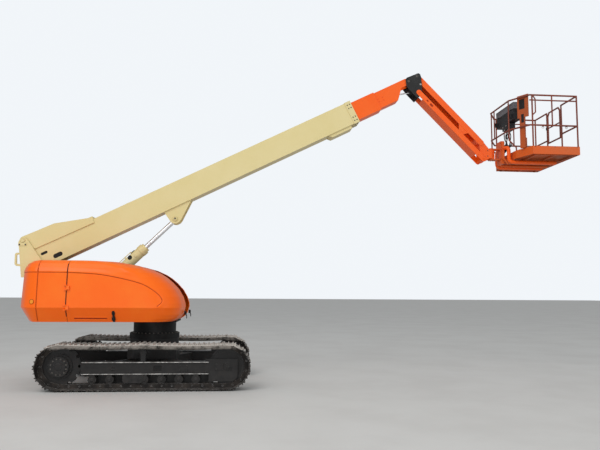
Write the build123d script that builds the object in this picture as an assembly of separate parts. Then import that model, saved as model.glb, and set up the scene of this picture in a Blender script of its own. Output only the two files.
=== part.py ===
from build123d import *
from math import acos, atan2, cos, degrees, hypot, pi, radians, sin, tan
import os

# Tracked telescopic boom lift. Millimetres, +X forward along the boom, +Z up.
# Pieces are drawn from the ground below the axis that the upper machine turns about,
# and all are placed from the ground below the middle of the machine's overall length.
MIDDLE_X = 2694

# Tracks
TRACK_GAUGE = 2010
SHOE_WIDTH = 480
SHOE_COUNT = 45
SPROCKET_TEETH = 12
PITCH_RADIUS = 322
LINK_OUT = 41
LINK_IN = 36
SHOE_PLATE = 10
GROUSER_HEIGHT = 22
SHOE_NOTCH = 6
LINK_GAP = 76
LINK_THICKNESS = 34
TOP_SAG = 18
SPROCKET_X = -1405
RUNNING_GAP = 0.3

# Track frames and what they carry
BEAM_BOTTOM = 265
BEAM_TOP = 470
BEAM_HALF_WIDTH = 85
BEAM_START = -1058
BEAM_END = 1057
FLANGE_THICKNESS = 15
FLANGE_OVERHANG = 20
YOKE_PLATE = 20
YOKE_LENGTH = 486
YOKE_BOTTOM = 140
YOKE_TOP = 513
ROLLER_RADIUS = 70
ROLLER_COUNT = 7
ROLLER_PITCH = 285
ROLLER_WIDTH = 150
ROLLER_AXLE = 22
CARRIER_RADIUS = 55
CARRIER_X = -40
IDLER_WIDTH = 110
IDLER_AXLE = 40
SPROCKET_THICKNESS = 60
DRIVE_RADIUS = 165
DRIVE_FLANGE = 205

# Car body and slewing ring
CAR_HALF_LENGTH = 430
CAR_HALF_WIDTH = 480
CAR_BOTTOM = 300
CAR_TOP = 800
LEG_INNER_X = 250
LEG_OUTER_X = 620
LEG_BOTTOM = 290
LEG_TOP = 450
RING_RADIUS = 450
RING_HEIGHT = 95
RING_GAP = 0.4
RACE_RADIUS = 385

# Turntable
DECK_BOTTOM = 1100
DECK_THICKNESS = 30
DECK_HALF_WIDTH = 420
DECK_FRONT = 430
TRAY_THICKNESS = 20
TRAY_HALF_WIDTH = 1050
UPRIGHT_INNER = 205
UPRIGHT_THICKNESS = 30
BULKHEAD_THICKNESS = 8

# Covers
COVER_HALF_WIDTH = 1235
COVER_BOTTOM = 1130
COVER_RIDGE = 1370
COVER_CREASE = 1960
COVER_TOP = 2165
BOTTOM_INSET = 150
CREASE_INSET = 32
COVER_SKIN = 8
COVER_INNER = 428
DOOR_SEAM = -1300
REAR_SEAM = -1780
SEAM_GAP = 6
NOSE_ROUNDING = 0.6
NOSE_TAPER = 30
TAIL_RADIUS = 2305
TAIL_CORNER = 300
SLOT_HALF_WIDTH = 245
SLOT_FRONT = -2170
SLOT_FLOOR = 1880
HINGE_OUTSET = 10
HINGE_PIN = 4
HINGE_BARREL = 8
HINGE_LENGTH = 90
LATCH_X = -537
LATCH_WIDTH = 38
LATCH_TOP = 1320
ENGINE_START = -950
ENGINE_LENGTH = 1000
ENGINE_Y = 520
ENGINE_WIDTH = 480
ENGINE_HEIGHT = 602

# Boom pivot and telescoping sections, in the boom's own frame
PIVOT_X = -2373
PIVOT_Z = 2559
BOOM_ANGLE = 26.5
PIVOT_PIN = 45
BASE_START = 100
BASE_END = 6620
BASE_BOTTOM = -610
BASE_TOP = -175
BASE_HALF_WIDTH = 170
BASE_WALL = 7
FIN_THICKNESS = 20
MID_START = 600
MID_END = 7130
MID_HALF_WIDTH = 148
MID_HALF_HEIGHT = 185
MID_WALL = 6
FLY_START = 1100
FLY_END = 7520
FLY_HALF_WIDTH = 127
FLY_HALF_HEIGHT = 158
FLY_WALL = 6
PAD_LENGTH = 120
COLLAR_LENGTH = 120
COLLAR_RISE = 10
TIP_PLATE = 18

# Lift cylinder
LUG_X = 2618
LUG_Z = -807
LUG_INNER = 115
LUG_THICKNESS = 28
CYLINDER_FOOT_X = -1537
CYLINDER_FOOT_Z = 1170
LIFT_BORE_RADIUS = 80
LIFT_BARREL_RADIUS = 98
LIFT_BARREL_LENGTH = 1860
LIFT_GLAND_LENGTH = 40
LIFT_GLAND_RADIUS = 84
LIFT_COLLAR_RISE = 7
LIFT_ROD_RADIUS = 42
LIFT_ROD_LENGTH = 1830
LIFT_EYE_RADIUS = 45
LIFT_FOOT_RADIUS = 60
LIFT_EYE_WIDTH = 110
FOOT_PIN = 30

# Boom tip: level hinge and level cylinder
LEVEL_X = 7880
LEVEL_Z = -300
LEVEL_PIN = 30
LEVEL_BASE_X = 7100
LEVEL_BASE_Z = -300
LEVEL_EYE_X = 62
LEVEL_EYE_Z = -185
LEVEL_BARREL_LENGTH = 430
LEVEL_BARREL_RADIUS = 30
LEVEL_ROD_RADIUS = 14
LEVEL_ROD_INSIDE = 195
LEVEL_EYE_RADIUS = 26
KNUCKLE_INNER = 133
KNUCKLE_THICKNESS = 16

# Jib, pinned to the knuckle in the machine's frame
JIB_X = 4985
JIB_Z = 5915
JIB_ANGLE = 45.5
JIB_LENGTH = 1830
JIB_PIN_SPREAD = 330
JIB_LEAN = 5
JIB_PIN = 25
UPPER_HALF_WIDTH = 124
UPPER_HALF_HEIGHT = 55
ARM_WALL = 8
LOWER_INNER = 154
LOWER_HALF_HEIGHT = 50
HEAD_OUTER = 113
HEAD_PLATE = 20
JIB_LUG_X = 1400
JIB_LUG_Z = -145
JIB_LUG_RADIUS = 30
JIB_BASE_X = 38
JIB_BASE_Z = -189
JIB_BARREL_LENGTH = 1000
JIB_BARREL_RADIUS = 36
JIB_ROD_RADIUS = 18
JIB_EYE_RADIUS = 30
SMALL_PIN = 16
PIN_GAP = 0.3

# Jib head and platform, drawn about the head's upper pin as parked
HEAD_PIN_X = 6267.7
HEAD_PIN_Z = 4609.8
ROTATOR_X = 6515
ROTATOR_RADIUS = 62
ROTATOR_BOTTOM = 4305
ROTATOR_TOP = 4495
ROTATOR_PLATE = 18
BRACKET_HALF_WIDTH = 70
FLOOR_BOTTOM = 4244
FLOOR_THICKNESS = 12
SHEET_THICKNESS = 3
SHEET_MARGIN = 20
KICK_HEIGHT = 155
KICK_THICKNESS = 6
FLOOR_BACK = 6970
FLOOR_BULGE = 6830
FLOOR_FRONT = 7885
FLOOR_HALF_WIDTH = 885
BULGE_HALF_WIDTH = 450
RAIL_RADIUS = 16
RAIL_BULGE = 6710
TOP_RAIL_Z = 5378
INNER_RAIL_Z = 5280
MID_RAIL_Z = 4800
SIDE_POST_X = 7375
HAND_LOOP = 62
GATE_START = -270
GATE_END = 330
GATE_GAP = 10


def box(x0, x1, y0, y1, z0, z1):
    return Pos((x0 + x1) / 2, (y0 + y1) / 2, (z0 + z1) / 2) * Box(abs(x1 - x0), abs(y1 - y0), abs(z1 - z0))


def disc_y(x, z, radius, y0, y1):
    return Pos(x, (y0 + y1) / 2, z) * Rot(90, 0, 0) * Cylinder(radius, abs(y1 - y0))


def disc_z(x, y, radius, z0, z1):
    return Pos(x, y, (z0 + z1) / 2) * Cylinder(radius, z1 - z0)


def outline_xz(points, y=0):
    return make_face(Polyline([(x, y, z) for x, z in points], close=True))


def plate_xz(points, y0, y1):
    return extrude(outline_xz(points, y0), y1 - y0, dir=(0, 1, 0))


def both_sides(shape):
    return shape + mirror(shape, Plane.XZ)


def rod_between(start, end, radius):
    axis = Vector(*end) - Vector(*start)
    return Plane(origin=start, z_dir=axis) * Cylinder(radius, axis.length, align=(Align.CENTER, Align.CENTER, Align.MIN))


def tube_run(points, radius):
    shape = rod_between(points[0], points[1], radius)
    for start, end in zip(points[1:], points[2:]):
        shape += rod_between(start, end, radius)
        shape += Pos(*start) * Sphere(radius)
    return shape


def hollow_beam(x0, x1, half_width, z0, z1, wall):
    outside = box(x0, x1, -half_width, half_width, z0, z1)
    return outside - box(x0 - 1, x1 + 1, wall - half_width, half_width - wall, z0 + wall, z1 - wall)


# Tracks: the chain's pins lie on a pitch line of two runs and two half circles.

PITCH = 2 * pi * PITCH_RADIUS / SPROCKET_TEETH
WHEELBASE = (SHOE_COUNT * PITCH - 2 * pi * PITCH_RADIUS) / 2
IDLER_X = SPROCKET_X + WHEELBASE
AXLE_Z = PITCH_RADIUS + LINK_OUT + SHOE_PLATE + GROUSER_HEIGHT
TRACK_Y = TRACK_GAUGE / 2


def sag_at(x):
    start, end = (SPROCKET_X, CARRIER_X) if x < CARRIER_X else (CARRIER_X, IDLER_X)
    share = (x - start) / (end - start)
    return 4 * TOP_SAG * share * (1 - share)


def pitch_point(distance):
    half_turn = pi * PITCH_RADIUS
    if distance <= WHEELBASE:
        return SPROCKET_X + distance, AXLE_Z - PITCH_RADIUS
    distance -= WHEELBASE
    if distance <= half_turn:
        angle = distance / PITCH_RADIUS - pi / 2
        return IDLER_X + PITCH_RADIUS * cos(angle), AXLE_Z + PITCH_RADIUS * sin(angle)
    distance -= half_turn
    if distance <= WHEELBASE:
        x = IDLER_X - distance
        return x, AXLE_Z + PITCH_RADIUS - sag_at(x)
    angle = (distance - WHEELBASE) / PITCH_RADIUS + pi / 2
    return SPROCKET_X + PITCH_RADIUS * cos(angle), AXLE_Z + PITCH_RADIUS * sin(angle)


def track_pins():
    return [pitch_point(k * PITCH) for k in range(SHOE_COUNT)]


def link_frame(pins, k):
    (x0, z0), (x1, z1) = pins[k % SHOE_COUNT], pins[(k + 1) % SHOE_COUNT]
    length = hypot(x1 - x0, z1 - z0)
    return x0, z0, (x1 - x0) / length, (z1 - z0) / length, length


def pin_offset(pins, k, height):
    x, z, dx, dz, _ = link_frame(pins, k)
    _, _, ex, ez, _ = link_frame(pins, k - 1)
    nx, nz = dz + ez, -dx - ex
    scale = height * 2 / (nx * nx + nz * nz)
    return x + nx * scale, z + nz * scale


def offset_loop(pins, height):
    return [pin_offset(pins, k, height) for k in range(SHOE_COUNT)]


def shoe_profile(pins):
    base = LINK_OUT + SHOE_PLATE
    tip = base + GROUSER_HEIGHT
    points = []
    for k in range(SHOE_COUNT):
        x, z, dx, dz, length = link_frame(pins, k)
        middle = length / 2
        steps = [(4, tip), (14, tip), (20, base), (middle - 9, base), (middle - 5, tip), (middle + 5, tip),
                 (middle + 9, base), (length - 20, base), (length - 14, tip), (length - 4, tip)]
        points.append(pin_offset(pins, k, base - SHOE_NOTCH))
        points += [(x + dx * t + dz * h, z + dz * t - dx * h) for t, h in steps]
    return points


def track_loop(side):
    pins = track_pins()
    band = outline_xz(shoe_profile(pins)) - outline_xz(offset_loop(pins, LINK_OUT))
    loop = Pos(0, -SHOE_WIDTH / 2, 0) * extrude(band, SHOE_WIDTH, dir=(0, 1, 0))
    rail = outline_xz(offset_loop(pins, LINK_OUT + 2)) - outline_xz(offset_loop(pins, -LINK_IN))
    for edge in (LINK_GAP / 2, -LINK_GAP / 2 - LINK_THICKNESS):
        loop += Pos(0, edge, 0) * extrude(rail, LINK_THICKNESS, dir=(0, 1, 0))
    return Pos(0, side * TRACK_Y, 0) * loop


def chain_inner_radius():
    return PITCH_RADIUS * cos(pi / SPROCKET_TEETH) - LINK_IN


def sprocket(side):
    half = SPROCKET_THICKNESS / 2
    wheel = disc_y(0, 0, PITCH_RADIUS + 14, -half, half)
    for k in range(SPROCKET_TEETH):
        turn = 2 * pi * k / SPROCKET_TEETH
        wheel -= disc_y(PITCH_RADIUS * sin(turn), -PITCH_RADIUS * cos(turn), 30, -half - 1, half + 1)
    hub_inner = -BEAM_HALF_WIDTH + YOKE_PLATE + 1
    wheel += disc_y(0, 0, DRIVE_FLANGE, hub_inner + 20, half + 30)
    wheel += disc_y(0, 0, DRIVE_RADIUS, half, BEAM_HALF_WIDTH + FLANGE_OVERHANG + 20)
    wheel += disc_y(0, 0, DRIVE_RADIUS - 45, half, BEAM_HALF_WIDTH + FLANGE_OVERHANG + 38)
    wheel += disc_y(0, 0, 110, hub_inner - 0.7, half)
    return Pos(SPROCKET_X, side * TRACK_Y, AXLE_Z) * (wheel if side > 0 else mirror(wheel, Plane.XZ))


def idler(side):
    radius = chain_inner_radius() - RUNNING_GAP
    half = IDLER_WIDTH / 2
    rim = disc_y(0, 0, radius, -half, half)
    for face in (-half - 1, half - 24):
        rim -= disc_y(0, 0, radius - 40, face, face + 25) - disc_y(0, 0, 80, face - 1, face + 26)
    rim += disc_y(0, 0, PITCH_RADIUS - LINK_IN + 30, -LINK_GAP / 2 + 3, LINK_GAP / 2 - 3)
    rim += disc_y(0, 0, 80, -half - 9, half + 9)
    rim += disc_y(0, 0, IDLER_AXLE, -BEAM_HALF_WIDTH - 20, BEAM_HALF_WIDTH + 20)
    return Pos(IDLER_X, side * TRACK_Y, AXLE_Z) * rim


def roller_positions():
    first = (SPROCKET_X + IDLER_X) / 2 - ROLLER_PITCH * (ROLLER_COUNT - 1) / 2
    return [first + ROLLER_PITCH * k for k in range(ROLLER_COUNT)]


def roller_z():
    return AXLE_Z - PITCH_RADIUS + LINK_IN + RUNNING_GAP + ROLLER_RADIUS


def carrier_z():
    pins = track_pins()
    near = [z for x, z in pins if abs(x - CARRIER_X) < PITCH and z > AXLE_Z]
    return min(near) - LINK_IN - RUNNING_GAP - CARRIER_RADIUS


def rollers(side):
    half = ROLLER_WIDTH / 2
    reach = BEAM_HALF_WIDTH
    shape = disc_y(CARRIER_X, carrier_z(), CARRIER_RADIUS, -half, half)
    shape += disc_y(CARRIER_X, carrier_z(), ROLLER_AXLE, -half, reach + 12)
    for x in roller_positions():
        wheel = disc_y(x, roller_z(), ROLLER_RADIUS, -half, half)
        wheel -= disc_y(x, roller_z(), ROLLER_RADIUS + 1, -14, 14) - disc_y(x, roller_z(), 48, -15, 15)
        shape += wheel + disc_y(x, roller_z(), ROLLER_AXLE, -reach, reach)
    return Pos(0, side * TRACK_Y, 0) * (shape if side > 0 else mirror(shape, Plane.XZ))


def track_frame(side):
    outer = BEAM_HALF_WIDTH + FLANGE_OVERHANG
    beam = box(BEAM_START, BEAM_END, -BEAM_HALF_WIDTH, BEAM_HALF_WIDTH, BEAM_BOTTOM, BEAM_TOP)
    beam += box(BEAM_START, BEAM_END, -outer, outer, BEAM_TOP - FLANGE_THICKNESS, BEAM_TOP)
    beam += box(BEAM_START, BEAM_END, -outer, outer, BEAM_BOTTOM, BEAM_BOTTOM + FLANGE_THICKNESS)
    beam -= box(135, 272, BEAM_HALF_WIDTH - 60, outer + 1, 320, 408)
    plate = box(BEAM_END - 1, BEAM_END + YOKE_LENGTH, BEAM_HALF_WIDTH - YOKE_PLATE, BEAM_HALF_WIDTH, YOKE_BOTTOM, YOKE_TOP)
    plate += box(BEAM_END - 60, BEAM_END, BEAM_HALF_WIDTH - YOKE_PLATE, BEAM_HALF_WIDTH, BEAM_TOP - 1, YOKE_TOP)
    plate = chamfer(plate.edges().filter_by(Axis.Y).group_by(Axis.X)[-1].sort_by(Axis.Z)[0], 70)
    plate -= disc_y(IDLER_X, AXLE_Z, IDLER_AXLE + PIN_GAP, 0, BEAM_HALF_WIDTH + 1)
    frame = beam + both_sides(plate)
    hanger = Pos(SPROCKET_X, 0, AXLE_Z) * Rot(90, 0, 0) * Cylinder(150, YOKE_PLATE)
    hanger += box(SPROCKET_X, BEAM_START + 1, -YOKE_PLATE / 2, YOKE_PLATE / 2, AXLE_Z - 110, AXLE_Z + 70)
    frame += Pos(0, -BEAM_HALF_WIDTH + YOKE_PLATE / 2, 0) * hanger
    for x in roller_positions():
        cheek = box(x - 42, x + 42, ROLLER_WIDTH / 2 + 3, BEAM_HALF_WIDTH, roller_z() - 34, BEAM_BOTTOM + 1)
        cheek -= disc_y(x, roller_z(), ROLLER_AXLE + PIN_GAP, 0, outer)
        frame += both_sides(cheek)
    post = box(CARRIER_X - 40, CARRIER_X + 40, ROLLER_WIDTH / 2 + 3, BEAM_HALF_WIDTH + 5, BEAM_TOP - 1, carrier_z() + 40)
    post -= disc_y(CARRIER_X, carrier_z(), ROLLER_AXLE + PIN_GAP, 0, outer)
    frame += post
    guard = box(CARRIER_X - 330, CARRIER_X + 10, BEAM_HALF_WIDTH, BEAM_HALF_WIDTH + 14, 120, BEAM_BOTTOM + 1)
    frame += fillet(guard.edges().filter_by(Axis.Y).group_by(Axis.Z)[0], 60)
    placed = frame if side > 0 else mirror(frame, Plane.XZ)
    return Pos(0, side * TRACK_Y, 0) * placed


def car_body():
    body = box(-CAR_HALF_LENGTH, CAR_HALF_LENGTH, -CAR_HALF_WIDTH, CAR_HALF_WIDTH, CAR_BOTTOM, CAR_TOP - 120)
    body = chamfer(body.edges().filter_by(Axis.Z), 140)
    body += disc_z(0, 0, RING_RADIUS - 10, CAR_TOP - 121, CAR_TOP)
    leg_end = TRACK_Y - BEAM_HALF_WIDTH
    for end in (-1, 1):
        leg = make_face(Polyline([(end * LEG_INNER_X, 200), (end * LEG_OUTER_X, leg_end - 160), (end * LEG_OUTER_X, leg_end),
                                  (end * (LEG_INNER_X - 60), leg_end), (end * (LEG_INNER_X - 60), 200)], close=True))
        body += both_sides(Pos(0, 0, LEG_BOTTOM) * extrude(leg, LEG_TOP - LEG_BOTTOM, dir=(0, 0, 1)))
    return body


def slew_ring():
    ring = disc_z(0, 0, RING_RADIUS, CAR_TOP, CAR_TOP + RING_HEIGHT)
    return ring - disc_z(0, 0, RING_RADIUS - 110, CAR_TOP - 1, CAR_TOP + RING_HEIGHT + 1)


# Turntable

DECK_TOP = DECK_BOTTOM + DECK_THICKNESS


def turntable_deck():
    deck = box(REAR_SEAM, DECK_FRONT, -DECK_HALF_WIDTH, DECK_HALF_WIDTH, DECK_BOTTOM, DECK_TOP)
    deck += disc_z(0, 0, RACE_RADIUS, CAR_TOP + RING_HEIGHT + RING_GAP, DECK_BOTTOM + 1)
    tray_z = COVER_BOTTOM + 8
    tray = box(REAR_SEAM, -20, DECK_HALF_WIDTH - 1, TRAY_HALF_WIDTH, tray_z, tray_z + TRAY_THICKNESS)
    tray += box(REAR_SEAM, -20, DECK_HALF_WIDTH - 30, DECK_HALF_WIDTH, DECK_BOTTOM, tray_z + TRAY_THICKNESS)
    wall = [(REAR_SEAM + SEAM_GAP, tray_z), (REAR_SEAM + SEAM_GAP, COVER_TOP), (DOOR_SEAM - SEAM_GAP, COVER_TOP),
            (DOOR_SEAM + 20, 2080), (-520, 2060), (-200, 1960), (60, 1840), (DECK_FRONT - 180, 1600),
            (DECK_FRONT - 60, 1400), (DECK_FRONT - 60, tray_z)]
    tray += plate_xz(wall, COVER_INNER - BULKHEAD_THICKNESS, COVER_INNER)
    tray -= box(DOOR_SEAM - SEAM_GAP / 2, DECK_FRONT, COVER_INNER - 3, COVER_INNER + 1, tray_z + TRAY_THICKNESS, COVER_TOP + 1)
    tray += box(-20, DECK_FRONT - 60, DECK_HALF_WIDTH - 30, DECK_HALF_WIDTH, DECK_BOTTOM, tray_z + 2)
    deck += both_sides(tray)
    foot_y = LIFT_EYE_WIDTH / 2 + 2
    foot = plate_xz([(CYLINDER_FOOT_X + 130, DECK_TOP - 1), (CYLINDER_FOOT_X + 60, CYLINDER_FOOT_Z + 30), (CYLINDER_FOOT_X + 30, CYLINDER_FOOT_Z + 52),
                     (CYLINDER_FOOT_X - 30, CYLINDER_FOOT_Z + 52), (CYLINDER_FOOT_X - 60, CYLINDER_FOOT_Z + 30), (CYLINDER_FOOT_X - 130, DECK_TOP - 1)], foot_y, foot_y + 30)
    deck += both_sides(foot)
    deck -= box(CYLINDER_FOOT_X - 90, CYLINDER_FOOT_X + 90, -foot_y, foot_y, DECK_BOTTOM - 1, DECK_TOP + 1)
    deck += disc_y(CYLINDER_FOOT_X, CYLINDER_FOOT_Z, FOOT_PIN, -foot_y - 42, foot_y + 42)
    return deck


def boom_uprights():
    outer = UPRIGHT_INNER + UPRIGHT_THICKNESS
    head = [(-74, -29), (-32, 44), (48, 44), (95, -9), (281, -273), (673, -809)]
    outline = [(PIVOT_X + x, PIVOT_Z + z) for x, z in head]
    outline += [(REAR_SEAM + 530, DECK_TOP), (SLOT_FRONT, DECK_TOP), (SLOT_FRONT, SLOT_FLOOR + 5),
                (PIVOT_X + 1, SLOT_FLOOR + 5)]
    plate = plate_xz(outline, UPRIGHT_INNER, outer)
    grip = [(-67, -229), (-107, -234), (-124, -259), (-124, -434), (-97, -469), (-22, -474), (-27, -439),
            (-87, -429), (-92, -269), (-47, -259)]
    handle = plate_xz([(PIVOT_X + x, PIVOT_Z + z) for x, z in grip], UPRIGHT_INNER, outer)
    uprights = both_sides(plate + handle)
    uprights += disc_y(PIVOT_X, PIVOT_Z, PIVOT_PIN, -outer - 14, outer + 14)
    uprights += box(SLOT_FRONT, SLOT_FRONT + 20, -UPRIGHT_INNER, UPRIGHT_INNER, DECK_TOP, SLOT_FLOOR - 60)
    uprights += box(REAR_SEAM - 20, REAR_SEAM, -UPRIGHT_INNER, UPRIGHT_INNER, DECK_TOP, 1500)
    return uprights


# Covers: one table of heights with how far the side stands in from the widest line.

def cover_levels():
    rise = COVER_TOP - COVER_CREASE
    levels = [(COVER_BOTTOM, BOTTOM_INSET), (COVER_RIDGE, 0), (COVER_CREASE, CREASE_INSET)]
    for turn in (22, 45, 68, 90):
        levels.append((COVER_CREASE + rise * sin(radians(turn)), CREASE_INSET + rise * (1 - cos(radians(turn)))))
    return levels


def cover_section(skin):
    inner = COVER_INNER - (50 if skin else 0)
    points = [(COVER_HALF_WIDTH - inset - skin, min(z, COVER_TOP - skin)) for z, inset in cover_levels()]
    below = 20 if skin else 0
    floor = COVER_BOTTOM - below
    points[0] = (points[0][0] - below * BOTTOM_INSET / (COVER_RIDGE - COVER_BOTTOM), floor)
    return [(inner, floor)] + points + [(inner, COVER_TOP - skin)]


HINGE_Y = COVER_HALF_WIDTH + HINGE_OUTSET
HINGE_HEIGHTS = (COVER_RIDGE, COVER_RIDGE + 330)


def cover_side_y(z):
    return COVER_HALF_WIDTH - CREASE_INSET * (z - COVER_RIDGE) / (COVER_CREASE - COVER_RIDGE)


def hinge_pin_leaf(z):
    half = HINGE_LENGTH / 2
    pin = disc_z(DOOR_SEAM, HINGE_Y, HINGE_PIN, z - half, z + half)
    for low, high in ((z - half, z - half + 14), (z + half - 14, z + half)):
        inner = cover_side_y(high) - COVER_SKIN / 2 - (8 if z <= COVER_RIDGE and low < z else 0)
        pin += disc_z(DOOR_SEAM, HINGE_Y, HINGE_BARREL - 1, low, high)
        pin += box(DOOR_SEAM - 45, DOOR_SEAM - SEAM_GAP / 2, inner, HINGE_Y + HINGE_BARREL - 1, low, high)
    return pin


def hinge_barrel_leaf(z):
    half = HINGE_LENGTH / 2 - 14.5
    barrel = disc_z(DOOR_SEAM, HINGE_Y, HINGE_BARREL, z - half, z + half)
    inner = cover_side_y(z + half) - COVER_SKIN / 2
    barrel += box(DOOR_SEAM + SEAM_GAP / 2, DOOR_SEAM + 45, inner, HINGE_Y + HINGE_BARREL, z - half, z + half)
    return barrel - disc_z(DOOR_SEAM, HINGE_Y, HINGE_PIN + PIN_GAP, z - half - 1, z + half + 1)


def rear_cover(side):
    def arch(skin, x0, x1):
        face = make_face(Polyline([(x0, y, z) for y, z in cover_section(skin)], close=True))
        return extrude(face, x1 - x0, dir=(1, 0, 0))
    front = DOOR_SEAM - SEAM_GAP / 2
    rear = REAR_SEAM + SEAM_GAP
    shell = arch(0, rear, front) - arch(COVER_SKIN, rear - 1, front + 1)
    for z in HINGE_HEIGHTS:
        shell += hinge_pin_leaf(z)
    return shell if side > 0 else mirror(shell, Plane.XZ)


def nose_x(z):
    table = [(COVER_BOTTOM, 420), (1180, 500), (1250, 555), (COVER_RIDGE, 590), (1440, 585),
             (1550, 550), (1680, 475), (1795, 370), (1893, 255), (COVER_CREASE, 150),
             (2037, -20), (2105, -270), (2150, -520), (COVER_TOP, -800)]
    for (z0, x0), (z1, x1) in zip(table, table[1:]):
        if z <= z1:
            return x0 + (x1 - x0) * (z - z0) / (z1 - z0)
    return table[-1][1]


def door_level(z, inset, skin, inner, rear):
    wide = COVER_HALF_WIDTH - inset - skin
    nose = nose_x(z) - skin * (1 if z < COVER_CREASE else 2)
    corner = NOSE_ROUNDING * (wide + skin - COVER_INNER) - skin
    front = nose - NOSE_TAPER
    start = (front - corner, wide)
    middle = (front - corner + corner * cos(pi / 4), wide - corner + corner * sin(pi / 4))
    end = (front, wide - corner)
    edges = [Line((rear, inner), (rear, wide)), Line((rear, wide), start), ThreePointArc(start, middle, end),
             Line(end, (nose, inner)), Line((nose, inner), (rear, inner))]
    return Pos(0, 0, z) * make_face(edges)


def door_body(skin):
    rows = []
    for z in (COVER_BOTTOM, 1180, 1250, COVER_RIDGE, 1440, 1550, 1680, 1795, 1893):
        share = (z - COVER_RIDGE) / (COVER_CREASE - COVER_RIDGE) if z > COVER_RIDGE else 0
        slope = (COVER_RIDGE - z) / (COVER_RIDGE - COVER_BOTTOM) if z < COVER_RIDGE else 0
        rows.append((z, CREASE_INSET * share + BOTTOM_INSET * slope))
    rows += cover_levels()[2:]
    if skin:
        rows = [(z - skin if z > 2100 else z, inset) for z, inset in rows]
        rows[0] = (COVER_BOTTOM - 2, BOTTOM_INSET)
    inner = COVER_INNER - (50 if skin else 0)
    rear = DOOR_SEAM + SEAM_GAP / 2 - (30 if skin else 0)
    return loft([door_level(z, inset, skin, inner, rear) for z, inset in rows], ruled=True)


def hood_door(side):
    door = door_body(0) - door_body(COVER_SKIN)
    half = LATCH_WIDTH / 2
    door -= box(LATCH_X - half, LATCH_X + half, COVER_HALF_WIDTH - BOTTOM_INSET - 60, COVER_HALF_WIDTH + 1,
                COVER_BOTTOM - 3, LATCH_TOP)
    for z in HINGE_HEIGHTS:
        door += hinge_barrel_leaf(z)
    return door if side > 0 else mirror(door, Plane.XZ)


def tail_level(z, inset):
    wide = COVER_HALF_WIDTH - inset
    radius = TAIL_RADIUS - inset
    corner = TAIL_CORNER - inset
    centre_y = wide - corner
    centre_x = -((radius - corner) ** 2 - centre_y ** 2) ** 0.5
    away = atan2(centre_y, centre_x)
    touch = (radius * cos(away), radius * sin(away))
    half = (pi / 2 + away) / 2
    middle = (centre_x + corner * cos(half), centre_y + corner * sin(half))
    top = (centre_x, wide)
    front = REAR_SEAM + TAIL_CORNER
    edges = [Line((front, -wide), (front, wide)), Line((front, wide), top), ThreePointArc(top, middle, touch),
             ThreePointArc(touch, (-radius, 0), (touch[0], -touch[1])),
             ThreePointArc((touch[0], -touch[1]), (middle[0], -middle[1]), (top[0], -top[1])),
             Line((top[0], -top[1]), (front, -wide))]
    return Pos(0, 0, z) * make_face(edges)


def counterweight():
    weight = loft([tail_level(z, inset) for z, inset in cover_levels()], ruled=True)
    weight -= box(REAR_SEAM, REAR_SEAM + TAIL_CORNER + 1, -2 * COVER_HALF_WIDTH, 2 * COVER_HALF_WIDTH,
                  COVER_BOTTOM - 1, COVER_TOP + 1)
    weight -= box(SLOT_FRONT, REAR_SEAM + 1, -SLOT_HALF_WIDTH, SLOT_HALF_WIDTH, COVER_BOTTOM - 1, COVER_TOP + 1)
    weight -= box(-TAIL_RADIUS - 1, SLOT_FRONT + 1, -SLOT_HALF_WIDTH, SLOT_HALF_WIDTH, SLOT_FLOOR, COVER_TOP + 1)
    return weight


def engine_block():
    floor = COVER_BOTTOM + 8 + TRAY_THICKNESS
    return box(ENGINE_START, ENGINE_START + ENGINE_LENGTH, ENGINE_Y, ENGINE_Y + ENGINE_WIDTH, floor, floor + ENGINE_HEIGHT)


# Boom sections are drawn level with the pivot at the origin, then raised.

def on_boom(shape):
    return Pos(PIVOT_X, 0, PIVOT_Z) * Rot(0, -BOOM_ANGLE, 0) * shape


BOOM_MIDDLE = (BASE_BOTTOM + BASE_TOP) / 2


def slot_cut(x0, x1, z, height):
    half = height / 2
    middle = (x0 + x1) / 2
    shape = box(x0 + half, x1 - half, -BASE_HALF_WIDTH - 40, BASE_HALF_WIDTH + 40, z - half, z + half)
    for x in (x0 + half, x1 - half):
        shape += disc_y(x, z, half, -BASE_HALF_WIDTH - 40, BASE_HALF_WIDTH + 40)
    return shape


def base_tube():
    tube = hollow_beam(BASE_START, BASE_END - COLLAR_LENGTH, BASE_HALF_WIDTH, BASE_BOTTOM, BASE_TOP, BASE_WALL)
    tube -= slot_cut(163, 290, -368, 48)
    tube -= slot_cut(345, 520, -505, 78)
    return on_boom(tube)


def base_collar():
    start = BASE_END - COLLAR_LENGTH
    wide = BASE_HALF_WIDTH + COLLAR_RISE
    collar = box(start, BASE_END, -wide, wide, BASE_BOTTOM - COLLAR_RISE, BASE_TOP + COLLAR_RISE)
    gap_y = MID_HALF_WIDTH + RUNNING_GAP
    gap_z = MID_HALF_HEIGHT + RUNNING_GAP
    collar -= box(start - 1, BASE_END + 1, -gap_y, gap_y, BOOM_MIDDLE - gap_z, BOOM_MIDDLE + gap_z)
    return on_boom(collar)


def boom_root():
    side = BASE_HALF_WIDTH
    outline = [(-70, -40), (-50, 40), (30, 70), (130, 65), (607, 49), (1275, -146), (1262, -245), (125, -228), (-40, -110)]
    plate = plate_xz(outline, side, side + FIN_THICKNESS)
    plate -= disc_y(0, 0, PIVOT_PIN + PIN_GAP, 0, side + 60)
    root = both_sides(plate)
    boss = disc_y(0, 0, 75, side - 60, side + 1) - disc_y(0, 0, PIVOT_PIN + PIN_GAP, 0, side + 60)
    root += both_sides(boss)
    cap = plate_xz([(200, 62.8), (607, 49), (1275, -146), (1272, -156), (605, 38.5), (200, 52)], -side, side)
    root += cap
    root += box(1150, 1272, -side, side, BASE_TOP, -120.0)
    return on_boom(root)


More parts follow.
